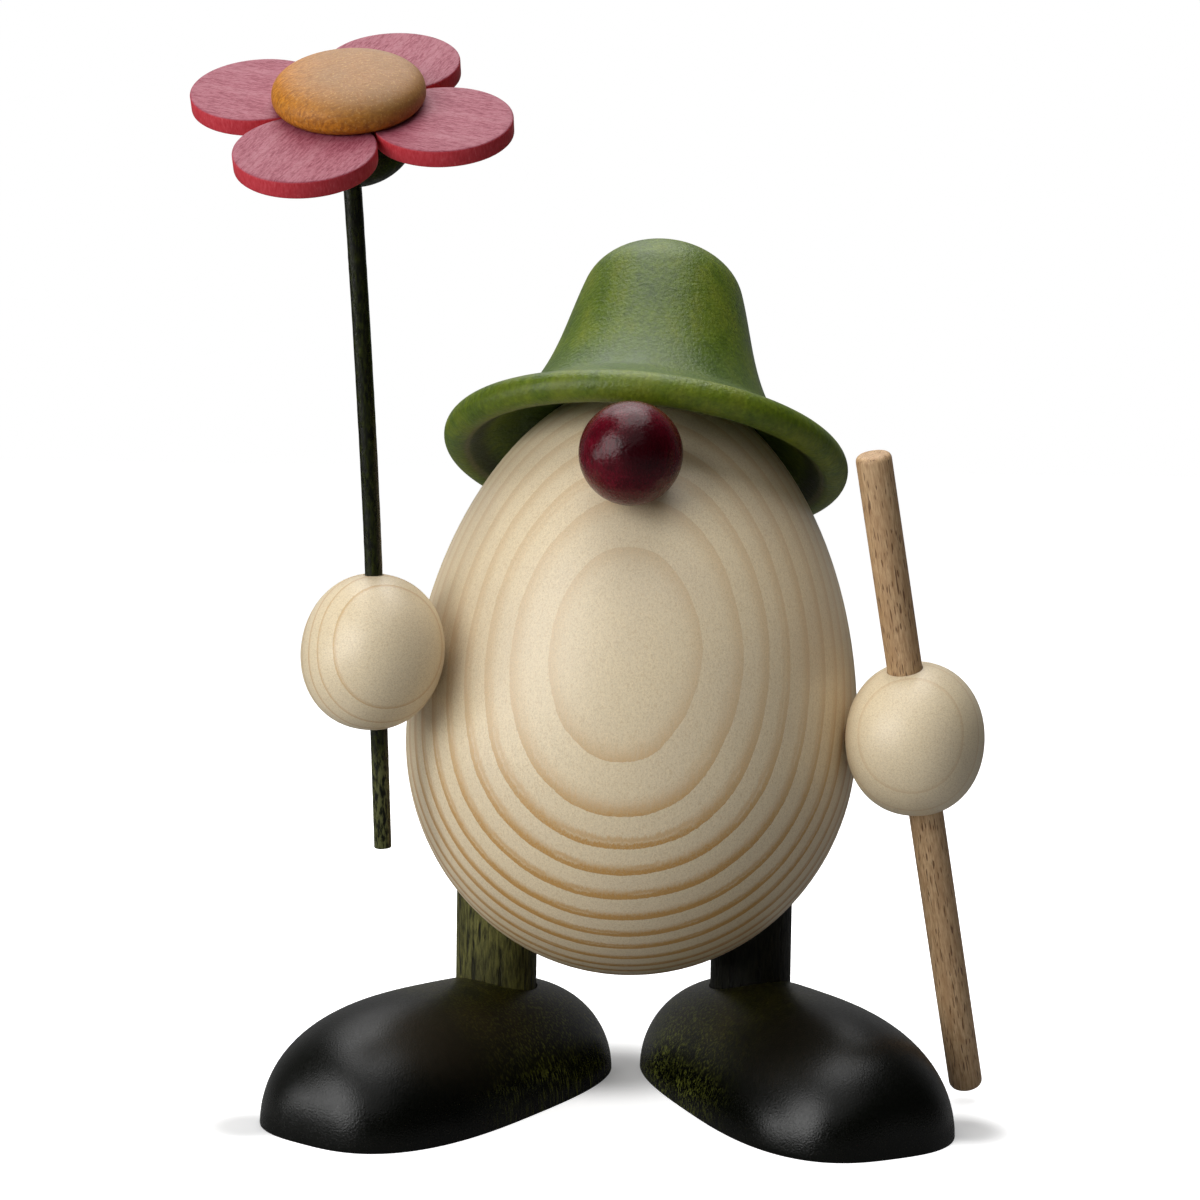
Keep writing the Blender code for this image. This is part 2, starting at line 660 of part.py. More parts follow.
def main():
    clear_scene()
    parts = new_collection("egghead_figurine")
    cutters = new_collection("cutters")
    materials = make_materials()
    egg = make_egg(parts, materials["pale wood"])
    make_legs(parts, cutters, egg, materials["foot black"], materials["leg green"])
    make_nose(parts, cutters, egg, materials)
    make_hat(parts, materials["hat green"], make_egg_seat_cutter(cutters))
    hand, centre = make_hand("flower_hand", FLOWER_HAND_AZIMUTH, FLOWER_HAND_HEIGHT,
                             parts, cutters, egg, materials)
    make_flower(parts, cutters, hand, centre, materials)
    hand, centre = make_hand("stick_hand", STICK_HAND_AZIMUTH, STICK_HAND_HEIGHT,
                             parts, cutters, egg, materials)
    make_stick(parts, cutters, hand, centre, materials["beech"])


main()
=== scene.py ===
import math
import bpy
from mathutils import Euler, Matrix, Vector


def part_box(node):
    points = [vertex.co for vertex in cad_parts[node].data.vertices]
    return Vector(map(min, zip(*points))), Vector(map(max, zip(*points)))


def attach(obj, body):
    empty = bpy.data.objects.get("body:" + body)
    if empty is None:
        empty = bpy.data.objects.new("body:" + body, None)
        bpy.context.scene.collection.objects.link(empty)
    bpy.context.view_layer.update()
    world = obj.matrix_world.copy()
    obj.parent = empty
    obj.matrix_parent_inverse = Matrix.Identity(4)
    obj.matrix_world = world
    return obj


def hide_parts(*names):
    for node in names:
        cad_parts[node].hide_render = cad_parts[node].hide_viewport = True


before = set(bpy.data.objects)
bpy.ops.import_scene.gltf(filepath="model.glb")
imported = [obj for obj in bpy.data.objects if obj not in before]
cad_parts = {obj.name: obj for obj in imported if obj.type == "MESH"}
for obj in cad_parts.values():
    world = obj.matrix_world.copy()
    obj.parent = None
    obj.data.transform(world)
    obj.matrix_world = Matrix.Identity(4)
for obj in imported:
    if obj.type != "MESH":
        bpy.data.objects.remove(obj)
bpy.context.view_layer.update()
print("frame loaded with", len(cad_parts), "parts")

mm = 0.001    # lengths below are in millimetres and angles in degrees
weldDistance = 0.002
drillSides = 64
smoothAngle = 32
noiseSpan = (0.3, 0.7)    # most values of a noise lie between these two


# Modelling helpers

def setMode(mode):
    bpy.ops.object.mode_set(mode=mode)


def selectWhole():
    bpy.ops.mesh.select_all(action="SELECT")


def extrudeBy(step):
    bpy.ops.mesh.extrude_region_move(TRANSFORM_OT_translate={"value": step})


def applyPlace():
    bpy.ops.object.transform_apply(location=True, rotation=True, scale=True)


def deselectAll():
    if bpy.context.mode != "OBJECT":
        setMode("OBJECT")
    bpy.ops.object.select_all(action="DESELECT")


def pickOnly(piece):
    deselectAll()
    piece.select_set(True)
    bpy.context.view_layer.objects.active = piece


def radiansOf(degrees):
    return tuple(math.radians(angle) for angle in degrees)


def nameActive(name):
    piece = bpy.context.active_object
    piece.name = name
    piece.data.name = name
    return piece


# Draws the profile point by point, then spins it round Z as on a lathe.
def turnOnLathe(name, profile, steps, sweep=360):
    deselectAll()
    bpy.ops.mesh.primitive_plane_add(size=mm, location=(0, 0, 0))
    piece = nameActive(name)
    setMode("EDIT")
    bpy.ops.mesh.select_mode(type="VERT")
    selectWhole()
    bpy.ops.mesh.merge(type="CENTER")
    bpy.ops.transform.translate(value=(profile[0][0] * mm, 0, profile[0][1] * mm))
    for start, end in zip(profile, profile[1:]):
        step = ((end[0] - start[0]) * mm, 0, (end[1] - start[1]) * mm)
        extrudeBy(step)
    selectWhole()
    bpy.ops.mesh.spin(steps=steps, angle=math.radians(sweep), center=(0, 0, 0), axis=(0, 0, 1))
    selectWhole()
    bpy.ops.mesh.remove_doubles(threshold=weldDistance * mm)
    bpy.ops.mesh.normals_make_consistent(inside=False)
    setMode("OBJECT")
    return piece


def putInPlace(piece, at, turned):
    pickOnly(piece)
    piece.location = [value * mm for value in at]
    piece.rotation_euler = radiansOf(turned)
    applyPlace()


def applyModifier(piece, modifier):
    pickOnly(piece)
    bpy.ops.object.modifier_apply(modifier=modifier.name)


def selectFaces(piece, wanted):
    bpy.ops.mesh.select_mode(type="FACE")
    bpy.ops.mesh.select_all(action="DESELECT")
    setMode("OBJECT")
    for face in piece.data.polygons:
        face.select = wanted(face)
    setMode("EDIT")


def subtract(piece, cutter):
    boolean = piece.modifiers.new("hole", "BOOLEAN")
    boolean.operation = "DIFFERENCE"
    boolean.solver = "EXACT"
    boolean.object = cutter
    applyModifier(piece, boolean)
    bpy.data.objects.remove(cutter, do_unlink=True)


# Drills a round hole along the own Z of a place. A flare widens both mouths of a through hole.
def drill(piece, at, turned, radius, low, high, flare=0):
    middle = Euler(radiansOf(turned)).to_matrix() @ Vector((0, 0, (low + high) / 2))
    deselectAll()
    bpy.ops.mesh.primitive_cylinder_add(vertices=drillSides, radius=radius * mm, depth=(high - low) * mm)
    bit = nameActive("drillBit")
    if flare:
        setMode("EDIT")
        for way in (1, -1):
            selectFaces(bit, lambda face: face.normal.z * way > 0.9)
            step = (0, 0, way * flare * mm)
            extrudeBy(step)
            wider = 1 + flare / radius
            bpy.ops.transform.resize(value=(wider, wider, 1))
        setMode("OBJECT")
    putInPlace(bit, Vector(at) + middle, turned)
    subtract(piece, bit)


def roundEdges(piece, width, segments, angle=40):
    edge = piece.modifiers.new("edge", "BEVEL")
    edge.width = width * mm
    edge.segments = segments
    edge.limit_method = "ANGLE"
    edge.angle_limit = math.radians(angle)
    applyModifier(piece, edge)


def smoothShade(piece, angle=smoothAngle):
    pickOnly(piece)
    bpy.ops.object.shade_smooth_by_angle(angle=math.radians(angle))


def handOver(piece, body, slot, finish, *nodes):
    piece.data.materials.clear()
    piece.data.materials.append(finish)
    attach(piece, body)
    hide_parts(*nodes)


# Material helpers

def tone(red, green, blue):
    linear = []
    for value in (red, green, blue):
        share = value / 255
        linear.append(share / 12.92 if share <= 0.04045 else ((share + 0.055) / 1.055) ** 2.4)
    return (*linear, 1)


def startFinish(name, at, turned):
    finish = bpy.data.materials.new(name)
    finish.use_nodes = True
    tree = finish.node_tree
    return finish, tree, tree.nodes["Principled BSDF"], ownFrame(tree, at, turned)


def addNode(tree, kind, inputs=None, **settings):
    made = tree.nodes.new("ShaderNode" + kind)
    for name, value in settings.items():
        setattr(made, name, value)
    for socket, value in (inputs or {}).items():
        if isinstance(value, bpy.types.NodeSocket):
            tree.links.new(value, made.inputs[socket])
        else:
            made.inputs[socket].default_value = value
    return made


# The piece's own coordinates in millimetres, measured from a place on it.
def ownFrame(tree, at, turned):
    objectCoordinates = addNode(tree, "TexCoord").outputs["Object"]
    inverse = {"Vector": objectCoordinates, "Location": [value * mm for value in at],
               "Rotation": radiansOf(turned), "Scale": (mm, mm, mm)}
    return addNode(tree, "Mapping", inverse, vector_type="TEXTURE").outputs["Vector"]


def noise(tree, vector, size, stretch=(1, 1, 1), detail=3.0, roughness=0.55, shift=(0, 0, 0)):
    scale = [1 / (size * part) for part in stretch]
    mapped = addNode(tree, "Mapping", {"Vector": vector, "Location": shift, "Scale": scale})
    inputs = {"Vector": mapped.outputs["Vector"], "Scale": 1.0, "Detail": detail, "Roughness": roughness}
    return addNode(tree, "TexNoise", inputs).outputs["Fac"]


def maths(tree, operation, first, second=0.0, third=0.0, clamp=False):
    inputs = {0: first, 1: second, 2: third}
    return addNode(tree, "Math", inputs, operation=operation, use_clamp=clamp).outputs[0]


def times(tree, first, second):
    return maths(tree, "MULTIPLY", first, second)


def plus(tree, first, second):
    return maths(tree, "ADD", first, second)


# A value between 0 and 1 spread evenly round a middle.
def around(tree, value, spread, middle=0.0):
    return maths(tree, "MULTIPLY_ADD", value, spread, middle - spread / 2)


# A smooth change from one share to another, while a value goes from low to high.
def between(tree, value, low, high, toLow=0.0, toHigh=1.0):
    inputs = {"Value": value, "From Min": low, "From Max": high, "To Min": toLow, "To Max": toHigh}
    made = addNode(tree, "MapRange", inputs, interpolation_type="SMOOTHSTEP")
    return made.outputs["Result"]


def ramp(tree, factor, stops):
    made = addNode(tree, "ValToRGB", {"Fac": factor})
    elements = made.color_ramp.elements
    while len(elements) < len(stops):
        elements.new(0.5)
    for element, (position, colour) in zip(elements, stops):
        element.position = position
        element.color = colour if len(colour) == 4 else tone(*colour)
    return made.outputs["Color"]


def greyRamp(tree, factor, stops):
    return ramp(tree, factor, [(position, (value, value, value, 1)) for position, value in stops])


def mixTones(tree, factor, first, second, blend="MIX"):
    made = addNode(tree, "Mix", data_type="RGBA", blend_type=blend)
    for socket, value in ((0, factor), (6, first), (7, second)):
        if isinstance(value, bpy.types.NodeSocket):
            tree.links.new(value, made.inputs[socket])
        elif socket == 0:
            made.inputs[0].default_value = value
        else:
            made.inputs[socket].default_value = tone(*value)
    return made.outputs[2]


def separate(tree, vector):
    return addNode(tree, "SeparateXYZ", {"Vector": vector}).outputs


def lengthOf(tree, vector, keep):
    flat = addNode(tree, "VectorMath", {0: vector, 1: keep}, operation="MULTIPLY").outputs["Vector"]
    return addNode(tree, "VectorMath", {0: flat}, operation="LENGTH").outputs["Value"]


def tinted(tree, colour, shade):
    grey = addNode(tree, "CombineColor", {0: shade, 1: shade, 2: shade}).outputs["Color"]
    return mixTones(tree, 1.0, colour, grey, "MULTIPLY")


def wire(tree, shader, colour, roughness, height, looks):
    inputs = {"Height": height, "Distance": looks["relief"] * mm, "Strength": 1.0}
    normal = addNode(tree, "Bump", inputs).outputs["Normal"]
    tree.links.new(colour, shader.inputs["Base Color"])
    tree.links.new(roughness, shader.inputs["Roughness"])
    tree.links.new(normal, shader.inputs["Normal"])
    shader.inputs["Specular IOR Level"].default_value = looks["shine"]


# How far through its growth ring a point lies: 0 to 0.5 the pale wood, 0.5 to 1 the dark up to its edge.
def ringShare(tree, distance, edges, darkMost, darkFirst, darkShare=0.45):
    count, span = len(edges) - 1, edges[-1] - edges[0]
    inputs = {"Value": distance, "From Min": edges[0], "From Max": edges[-1]}
    share = addNode(tree, "MapRange", inputs)
    curve = addNode(tree, "FloatCurve", {"Value": share.outputs["Result"]})
    line = curve.mapping.curves[0]
    for number, (start, end) in enumerate(zip(edges, edges[1:])):
        dark = min((end - start) * darkShare, darkMost if number else darkFirst)
        line.points.new((end - dark - edges[0]) / span, (number + 0.5) / count)
        if number < count - 1:
            line.points.new((end - edges[0]) / span, (number + 1) / count)
    for point in line.points:
        point.handle_type = "VECTOR"
    curve.mapping.update()
    return maths(tree, "FRACT", times(tree, curve.outputs["Value"], count))


# Pale softwood shared by the egg and the two hands

paleWood = {
    "early": (228, 211, 178), "late": (193, 148, 84), "grey": (216, 200, 174), "sand": (210, 178, 128),
    "wave": 14.0, "waving": 0.5,         # size of the bends in a ring and how far they go
    "jag": 0.5, "jagging": 0.2,          # the same for the small teeth of a ring
    "fibre": 0.34, "raggedness": 0.3,
    "along": 9.0, "alongBlend": (0.46, 0.56),    # where a ring changes from one dark line to two
    "cloud": 18.0, "speckle": 0.26, "grit": 0.14,    # sizes of grey places, speckle and sanding marks
    # Two values of a noise, then the share or shade that each gives
    "lateShare": (0.25, 0.7, 0.75, 1.12), "greyShare": (0.4, 0.7, 0.0, 0.35), "sandShare": (0.5, 0.3, 0.0, 0.4),
    "speckleShade": (0.3, 0.72, 0.94, 1.04), "gritShade": (0.3, 0.7, 0.92, 1.06),
    "fibreShade": (0.32, 0.7, 0.98, 1.02), "roughSpeckle": (0.3, 0.8, -0.05, 0.07),
    "roughness": 0.4, "shine": 0.6, "relief": 0.035,
    "doubleLine": [(0.0, 0.0), (0.5, 0.05), (0.62, 0.6), (0.7, 0.65), (0.77, 0.4), (0.84, 0.95), (0.98, 1.0)],
    "singleLine": [(0.0, 0.0), (0.45, 0.03), (0.62, 0.4), (0.78, 0.85), (0.95, 1.0)],
    "softLine": [(0.0, 0.0), (0.5, 0.02), (0.7, 0.2), (0.88, 0.62), (1.0, 0.95)],
}


# The contrast of the rings grows from the first to the second height, as the cut nears the end grain.
def paleWoodFinish(name, at, turned, distance, edges, contrast, darkMost, darkFirst, wideRings=None):
    finish, tree, shader, vector = startFinish(name, at, turned)
    height = separate(tree, vector)["Z"]
    centre = distance(tree, vector)
    wave = noise(tree, vector, paleWood["wave"], detail=2)
    jag = noise(tree, vector, paleWood["jag"], stretch=(1, 1, 2.5), detail=2)
    jag = around(tree, jag, paleWood["jagging"])
    fibre = noise(tree, vector, paleWood["fibre"], stretch=(1, 1, 9))
    if wideRings:
        jag = times(tree, jag, between(tree, centre, *wideRings, 0.35, 1.0))
    far = plus(tree, centre, plus(tree, around(tree, wave, paleWood["waving"]), jag))
    rings = ringShare(tree, far, edges, darkMost, darkFirst)
    ragged = plus(tree, rings, around(tree, fibre, paleWood["raggedness"]))
    double = greyRamp(tree, ragged, paleWood["doubleLine"])
    single = greyRamp(tree, ragged, paleWood["singleLine"])
    along = noise(tree, vector, paleWood["along"], detail=1, shift=(4, 7, 1))
    late = mixTones(tree, between(tree, along, *paleWood["alongBlend"]), single, double)
    if wideRings:
        soft = greyRamp(tree, ragged, paleWood["softLine"])
        late = mixTones(tree, between(tree, far, *wideRings), soft, late)
    speckle = noise(tree, vector, paleWood["speckle"], stretch=(1, 1, 1.5), detail=2, roughness=0.7)
    grit = noise(tree, vector, paleWood["grit"], detail=1)
    cloud = noise(tree, vector, paleWood["cloud"])
    dark = times(tree, late, between(tree, speckle, *paleWood["lateShare"]))
    dark = maths(tree, "MULTIPLY", dark, between(tree, height, *contrast), clamp=True)
    body = mixTones(tree, between(tree, cloud, *paleWood["greyShare"]), paleWood["early"], paleWood["grey"])
    body = mixTones(tree, dark, body, paleWood["late"])
    body = mixTones(tree, between(tree, speckle, *paleWood["sandShare"]), body, paleWood["sand"])
    grains = times(tree, between(tree, speckle, *paleWood["speckleShade"]),
                   between(tree, grit, *paleWood["gritShade"]))
    grains = times(tree, grains, between(tree, fibre, *paleWood["fibreShade"]))
    body = tinted(tree, body, grains)
    rough = plus(tree, between(tree, speckle, *paleWood["roughSpeckle"]), paleWood["roughness"])
    skin = plus(tree, times(tree, speckle, 0.8), times(tree, dark, 0.3))
    wire(tree, shader, body, rough, skin, paleWood)
    return finish


# Egg, the body of the figure

egg = {
    "at": (4.1, 10.3, 60.8), "turned": (0, 2.4, 0),
    "width": 76.0, "upper": 60.7, "lower": 39.6, "slimming": 0.034,
    "profileSteps": 72, "lathe": 128,
    # The rings lie round one pith line far behind the figure, at these distances from it.
    "pithAt": (8.3, -429.1, 160.9), "pithTurned": (0, 1.77, -3.61),
    "ringEdges": (404.5, 412.5, 415.3, 418.0, 420.8, 424.2, 427.8, 431.3, 434.6, 438.3, 441.9, 445.2, 449.1,
                  452.4, 456.3, 459.5, 463.4, 466.6, 470.5, 473.8, 477.6, 481.1, 484.7, 488.5),
    "contrast": (18, -30, 0.32, 1.35), "darkRing": 1.5, "darkHeart": 0.85, "wideRings": (412, 417),
}


def eggProfile(grown=0.0):
    points = []
    steps = egg["profileSteps"]
    for step in range(steps + 1):
        angle = math.pi / 2 - math.pi * step / steps
        slim = 1 - egg["slimming"] * max(math.sin(angle), 0) ** 2
        radius = (egg["width"] / 2 + grown) * math.cos(angle) * slim
        half = (egg["upper"] if angle > 0 else egg["lower"]) + grown
        points.append((0 if step in (0, steps) else radius, half * math.sin(angle)))
    return points


legs = {
    "left": (-18.574, 17.997, 0), "right": (25.774, 19.779, 0),
    "radius": 7.0, "bottom": 6.25, "chamfer": 0.4, "fit": 0.2, "headroom": 0.5,
}
pegs = {
    "nose": {"at": (3.370, -15.412, 104.674), "turned": (56.276, 0, -4.110)},
    "flower": {"at": (-27.820, -7.561, 75.049), "turned": (79.660, 0, -61.010)},
    "stick": {"at": (39.211, -4.321, 63.832), "turned": (89.370, 0, 67.328)},
    "radius": 2.2, "depth": 8.5, "runOut": 3,    # the drill also cuts the air this far outside
}


def legTop(side):
    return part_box(side + "_leg")[1].z / mm


def makeEgg():
    piece = turnOnLathe("eggBody", eggProfile(), egg["lathe"])
    putInPlace(piece, egg["at"], egg["turned"])
    for side in ("left", "right"):
        drill(piece, legs[side], (0, 0, 0), legs["radius"] + legs["fit"],
              0, legTop(side) + legs["headroom"])
    for peg in ("nose", "flower", "stick"):
        drill(piece, pegs[peg]["at"], pegs[peg]["turned"], pegs["radius"], -pegs["depth"], pegs["runOut"])
    smoothShade(piece)
    finish = paleWoodFinish(
        "eggPine", egg["at"], egg["turned"],
        lambda tree, vector: lengthOf(tree, ownFrame(tree, egg["pithAt"], egg["pithTurned"]), (0, 1, 1)),
        egg["ringEdges"], egg["contrast"], egg["darkRing"], egg["darkHeart"], egg["wideRings"])
    handOver(piece, "figure", "pale_wood", finish, "egg_body")


makeEgg()
print("egg turned")


# Hands, two beads

hands = {
    "diameter": 24.9, "length": 21.8, "fullness": 2.14, "profileSteps": 40, "lathe": 96,
    "flower": {"at": (-37.415, -12.877, 77.050), "turned": (79.660, 0, -61.010),
               "boreAt": (-36.815, -12.877, 77.050), "boreTurned": (5.5, -1.8, 0), "bore": 1.5,
               "ringsTurned": (79, 0, 22), "ringEdges": (-15.0, -7.8, -4.4, -1.6, 1.9, 5.2, 8.8, 12.0, 15.5),
               "contrast": (12, -12, 0.55, 0.9)},
    "stick": {"at": (49.499, -8.619, 63.955), "turned": (89.370, 0, 67.328),
              "boreAt": (49.499, -8.619, 63.955), "boreTurned": (15.4, -11.6, 0), "bore": 2.9,
              "ringsTurned": (80, 0, -10), "ringEdges": (-15.0, -8.5, -4.2, -0.6, 2.9, 6.2, 9.8, 13.0, 16.5),
              "contrast": (12, -12, 0.3, 0.6)},
    "mouth": 0.35, "mouthInset": 0.25,    # flare of the bore where it leaves the bead
    "pegBore": 6.25, "darkRing": 0.5,
}


def beadProfile():
    radius, half = hands["diameter"] / 2, hands["length"] / 2
    steps, power = hands["profileSteps"], hands["fullness"]
    points = []
    for step in range(steps + 1):
        height = math.cos(math.pi * step / steps)
        width = radius * max(1 - abs(height) ** power, 0) ** (1 / power)
        points.append((0 if step in (0, steps) else width, height * half))
    return points


def makeHand(side, node):
    hand = hands[side]
    piece = turnOnLathe(side + "Hand", beadProfile(), hands["lathe"])
    putInPlace(piece, hand["at"], hand["turned"])
    drill(piece, pegs[side]["at"], pegs[side]["turned"], pegs["radius"], -pegs["runOut"], hands["pegBore"])
    reach = hands["diameter"] / 2 - hands["mouthInset"]
    drill(piece, hand["boreAt"], hand["boreTurned"], hand["bore"], -reach, reach, flare=hands["mouth"])
    smoothShade(piece)

    def across(tree, vector):
        return times(tree, separate(tree, vector)["Z"], -1.0)
    finish = paleWoodFinish(side + "HandPine", hand["at"], hand["ringsTurned"], across, hand["ringEdges"],
                            hand["contrast"], hands["darkRing"], hands["darkRing"])
    handOver(piece, "figure", "pale_wood", finish, node)


makeHand("flower", "flower_hand")
makeHand("stick", "stick_hand")
print("hands turned and bored")


# Nose, a small dark red ball

nose = {
    "at": (2.905, -21.882, 109.005), "turned": (56.276, 0, -4.110), "radius": 8.05, "flat": 0.5,
    "profileSteps": 40, "lathe": 80, "pegBore": 6.75,
    "wine": (84, 4, 20), "deep": (58, 2, 12), "bright": (104, 10, 32),
    "frontShade": (36, 0, 5), "frontShadeAt": (1.8, -8.0, 0.5), "frontShadeSpan": (2.0, 7.0, 0.9, 0.0),    # painted shade: darker where the ball faces the front
    "streak": 0.28, "cloud": 4.0, "cloudShare": (0.35, 0.7, 0.0, 0.6), "skin": 0.55,
    "roughness": (0.22, 0.29), "relief": 0.07, "shine": 0.27,
}


def makeNose():
    last = math.acos(-(nose["radius"] - nose["flat"]) / nose["radius"])
    profile = []
    for step in range(nose["profileSteps"] + 1):
        angle = last * step / nose["profileSteps"]
        profile.append((nose["radius"] * math.sin(angle), nose["radius"] * math.cos(angle)))
    profile.append((0, -(nose["radius"] - nose["flat"])))
    piece = turnOnLathe("noseBall", profile, nose["lathe"])
    putInPlace(piece, nose["at"], nose["turned"])
    peg = pegs["nose"]
    drill(piece, peg["at"], peg["turned"], pegs["radius"], -pegs["runOut"], nose["pegBore"])
    smoothShade(piece)
    finish, tree, shader, vector = startFinish("noseWine", nose["at"], (0, 0, 0))
    streak = noise(tree, vector, nose["streak"], stretch=(1, 1, 12))
    cloud = noise(tree, vector, nose["cloud"])
    skin = noise(tree, vector, nose["skin"], detail=2)
    colour = ramp(tree, streak, [(0.34, nose["deep"]), (0.5, nose["wine"]), (0.68, nose["bright"])])
    colour = mixTones(tree, between(tree, cloud, *nose["cloudShare"]), colour, nose["deep"])
    # Painted shade: the front of the ball, where it faces the camera, turns to a darker red.
    frontShadeAt = [middle + offset for middle, offset in zip(nose["at"], nose["frontShadeAt"])]
    frontShade = lengthOf(tree, ownFrame(tree, frontShadeAt, (0, 0, 0)), (1, 1, 1))
    colour = mixTones(tree, between(tree, frontShade, *nose["frontShadeSpan"]), colour, nose["frontShade"])
    rough = between(tree, skin, *noiseSpan, *nose["roughness"])
    wire(tree, shader, colour, rough, skin, nose)
    handOver(piece, "figure", "wine_red", finish, "nose")


makeNose()
print("nose turned")


# Hat, one turned piece with a rolled rim

hat = {
    "at": (5.8426, 14.8, 108.2803), "turned": (-19.9, 5.9, 0),
    "rimRadius": 31.8, "rimThickness": 5.2, "height": 39.1,
    "crownRadius": 14.1, "crownRounding": 10.7, "shoulderAngle": 13.7,
    "waistRadius": 21.5, "waistHeight": 8.4, "waistFlare": 1.8,
    "brimDip": 0.5, "brimRun": 0.75, "underRise": 0.33,
    "hollowDepth": 8.0, "hollowEdge": 4.4, "rimStart": 100, "rimEnd": -130,
    "crownSteps": 18, "sideSteps": 30, "brimSteps": 12, "rimSteps": 26, "lathe": 144,
    "green": (88, 108, 20), "deep": (68, 90, 16), "olive": (106, 118, 25), "blue": (70, 92, 36),
    # "under" is a painted shade tone for the brim's underside.
    "under": (34, 42, 8), "edgeLine": (118, 112, 84),
    "mottle": 6.0, "fine": 0.9, "fineness": 0.3, "streak": 0.6, "leather": 0.6,
    "streakShade": (0.3, 0.7, 0.93, 1.06), "fineShade": (0.3, 0.75, 0.86, 1.12),
    # Where the olive rim, the bluer waist, the painted shade under the brim and the pale line below the rim
    # begin and end
    "rimRadii": (29.0, 32.5, 0.0, 0.5), "rimMottle": (0.35, 0.6),
    "waistLow": (2.0, 5.0), "waistHigh": (10.0, 17.0, 1.0, 0.0), "waistShare": 0.6,
    "underShadeHeights": (1.2, -0.6), "underShadeRadii": (31.5, 29.0), "underShadeShare": 0.85,
    "lineInside": (29.2, 29.9), "lineOutside": (31.0, 30.2), "lineHeights": (-1.5, -2.0, 0.0, 0.5),
    "roughness": (0.38, 0.48), "relief": 0.12, "shine": 0.38, "seatGap": 0.25,
}


# Smooth run between two profile points whose directions are given.
def flareRun(start, startWay, end, endWay, steps):
    points = []
    for step in range(1, steps):
        t = step / steps
        square, cube = t ** 2, t ** 3
        weights = (2 * cube - 3 * square + 1, cube - 2 * square + t, 3 * square - 2 * cube, cube - square)
        given = (start, startWay, end, endWay)
        points.append(tuple(sum(w * p[axis] for w, p in zip(weights, given)) for axis in (0, 1)))
    return points


def hatProfile():
    waist = (hat["waistRadius"], hat["waistHeight"])
    points = [(0, hat["height"])]
    for step in range(1, hat["crownSteps"] + 1):
        angle = math.radians(90 + (hat["shoulderAngle"] - 90) * step / hat["crownSteps"])
        drop = hat["crownRounding"] * (1 - math.sin(angle))
        points.append((hat["crownRadius"] * math.cos(angle), hat["height"] - drop))
    shoulder = points[-1]
    side = (waist[0] - shoulder[0], waist[1] - shoulder[1])
    widening = hat["crownRadius"] / hat["crownRounding"] * math.tan(math.radians(hat["shoulderAngle"]))
    points += flareRun(shoulder, (-side[1] * widening, side[1]), waist,
                       (side[0] * hat["waistFlare"], side[1]), hat["sideSteps"])
    points.append(waist)
    rim = []
    for step in range(hat["rimSteps"] + 1):
        angle = math.radians(hat["rimStart"] + (hat["rimEnd"] - hat["rimStart"]) * step / hat["rimSteps"])
        reach = hat["rimThickness"] / 2
        rim.append((hat["rimRadius"] + reach * math.cos(angle), reach * math.sin(angle)))
    brim = hat["rimRadius"] - hat["waistRadius"]
    dip, run, rise = (brim * hat[share] for share in ("brimDip", "brimRun", "underRise"))
    points += flareRun(waist, (dip, -dip), rim[0], (run, 0), hat["brimSteps"])
    points += rim
    hollow = (hat["waistRadius"], hat["hollowEdge"])
    points += flareRun(rim[-1], (-dip, rise), hollow, (-run, rise), hat["brimSteps"])
    return points + [hollow, (0, hat["hollowDepth"])]


def hatFinish():
    finish, tree, shader, vector = startFinish("hatStain", hat["at"], hat["turned"])
    height = separate(tree, vector)["Z"]
    radius = lengthOf(tree, vector, (1, 1, 0))
    mottle = noise(tree, vector, hat["mottle"], stretch=(1, 1, 1.8), detail=4, roughness=0.6)
    fine = noise(tree, vector, hat["fine"], roughness=0.65)
    streak = noise(tree, vector, hat["streak"], stretch=(1, 1, 9), detail=2)
    cloud = plus(tree, mottle, around(tree, fine, hat["fineness"]))
    colour = ramp(tree, cloud, [(0.3, hat["deep"]), (0.5, hat["green"]), (0.72, hat["olive"])])
    rim = between(tree, radius, *hat["rimRadii"])
    rim = times(tree, rim, between(tree, mottle, *hat["rimMottle"]))
    colour = mixTones(tree, rim, colour, hat["olive"])
    waist = times(tree, between(tree, height, *hat["waistLow"]), between(tree, height, *hat["waistHigh"]))
    colour = mixTones(tree, times(tree, waist, hat["waistShare"]), colour, hat["blue"])
    # Painted shade: the brim's underside, near the egg, turns to the dark "under" tone.
    under = times(tree, between(tree, height, *hat["underShadeHeights"]), between(tree, radius, *hat["underShadeRadii"]))
    colour = mixTones(tree, times(tree, under, hat["underShadeShare"]), colour, hat["under"])
    line = times(tree, between(tree, radius, *hat["lineInside"]), between(tree, radius, *hat["lineOutside"]))
    line = times(tree, line, between(tree, height, *hat["lineHeights"]))
    colour = mixTones(tree, line, colour, hat["edgeLine"])
    shade = times(tree, between(tree, streak, *hat["streakShade"]), between(tree, fine, *hat["fineShade"]))
    colour = tinted(tree, colour, shade)
    leather = noise(tree, vector, hat["leather"], detail=2, roughness=0.5)
    rough = between(tree, mottle, *noiseSpan, *hat["roughness"])
    wire(tree, shader, colour, rough, leather, hat)
    return finish


def makeHat():
    piece = turnOnLathe("hatTurned", hatProfile(), hat["lathe"])
    putInPlace(piece, hat["at"], hat["turned"])
    seat = turnOnLathe("eggSeat", eggProfile(hat["seatGap"]), egg["lathe"])
    putInPlace(seat, egg["at"], egg["turned"])
    subtract(piece, seat)
    smoothShade(piece)
    handOver(piece, "figure", "hat_green", hatFinish(), "hat")


makeHat()
print("hat turned")


# Legs, two stained dowels

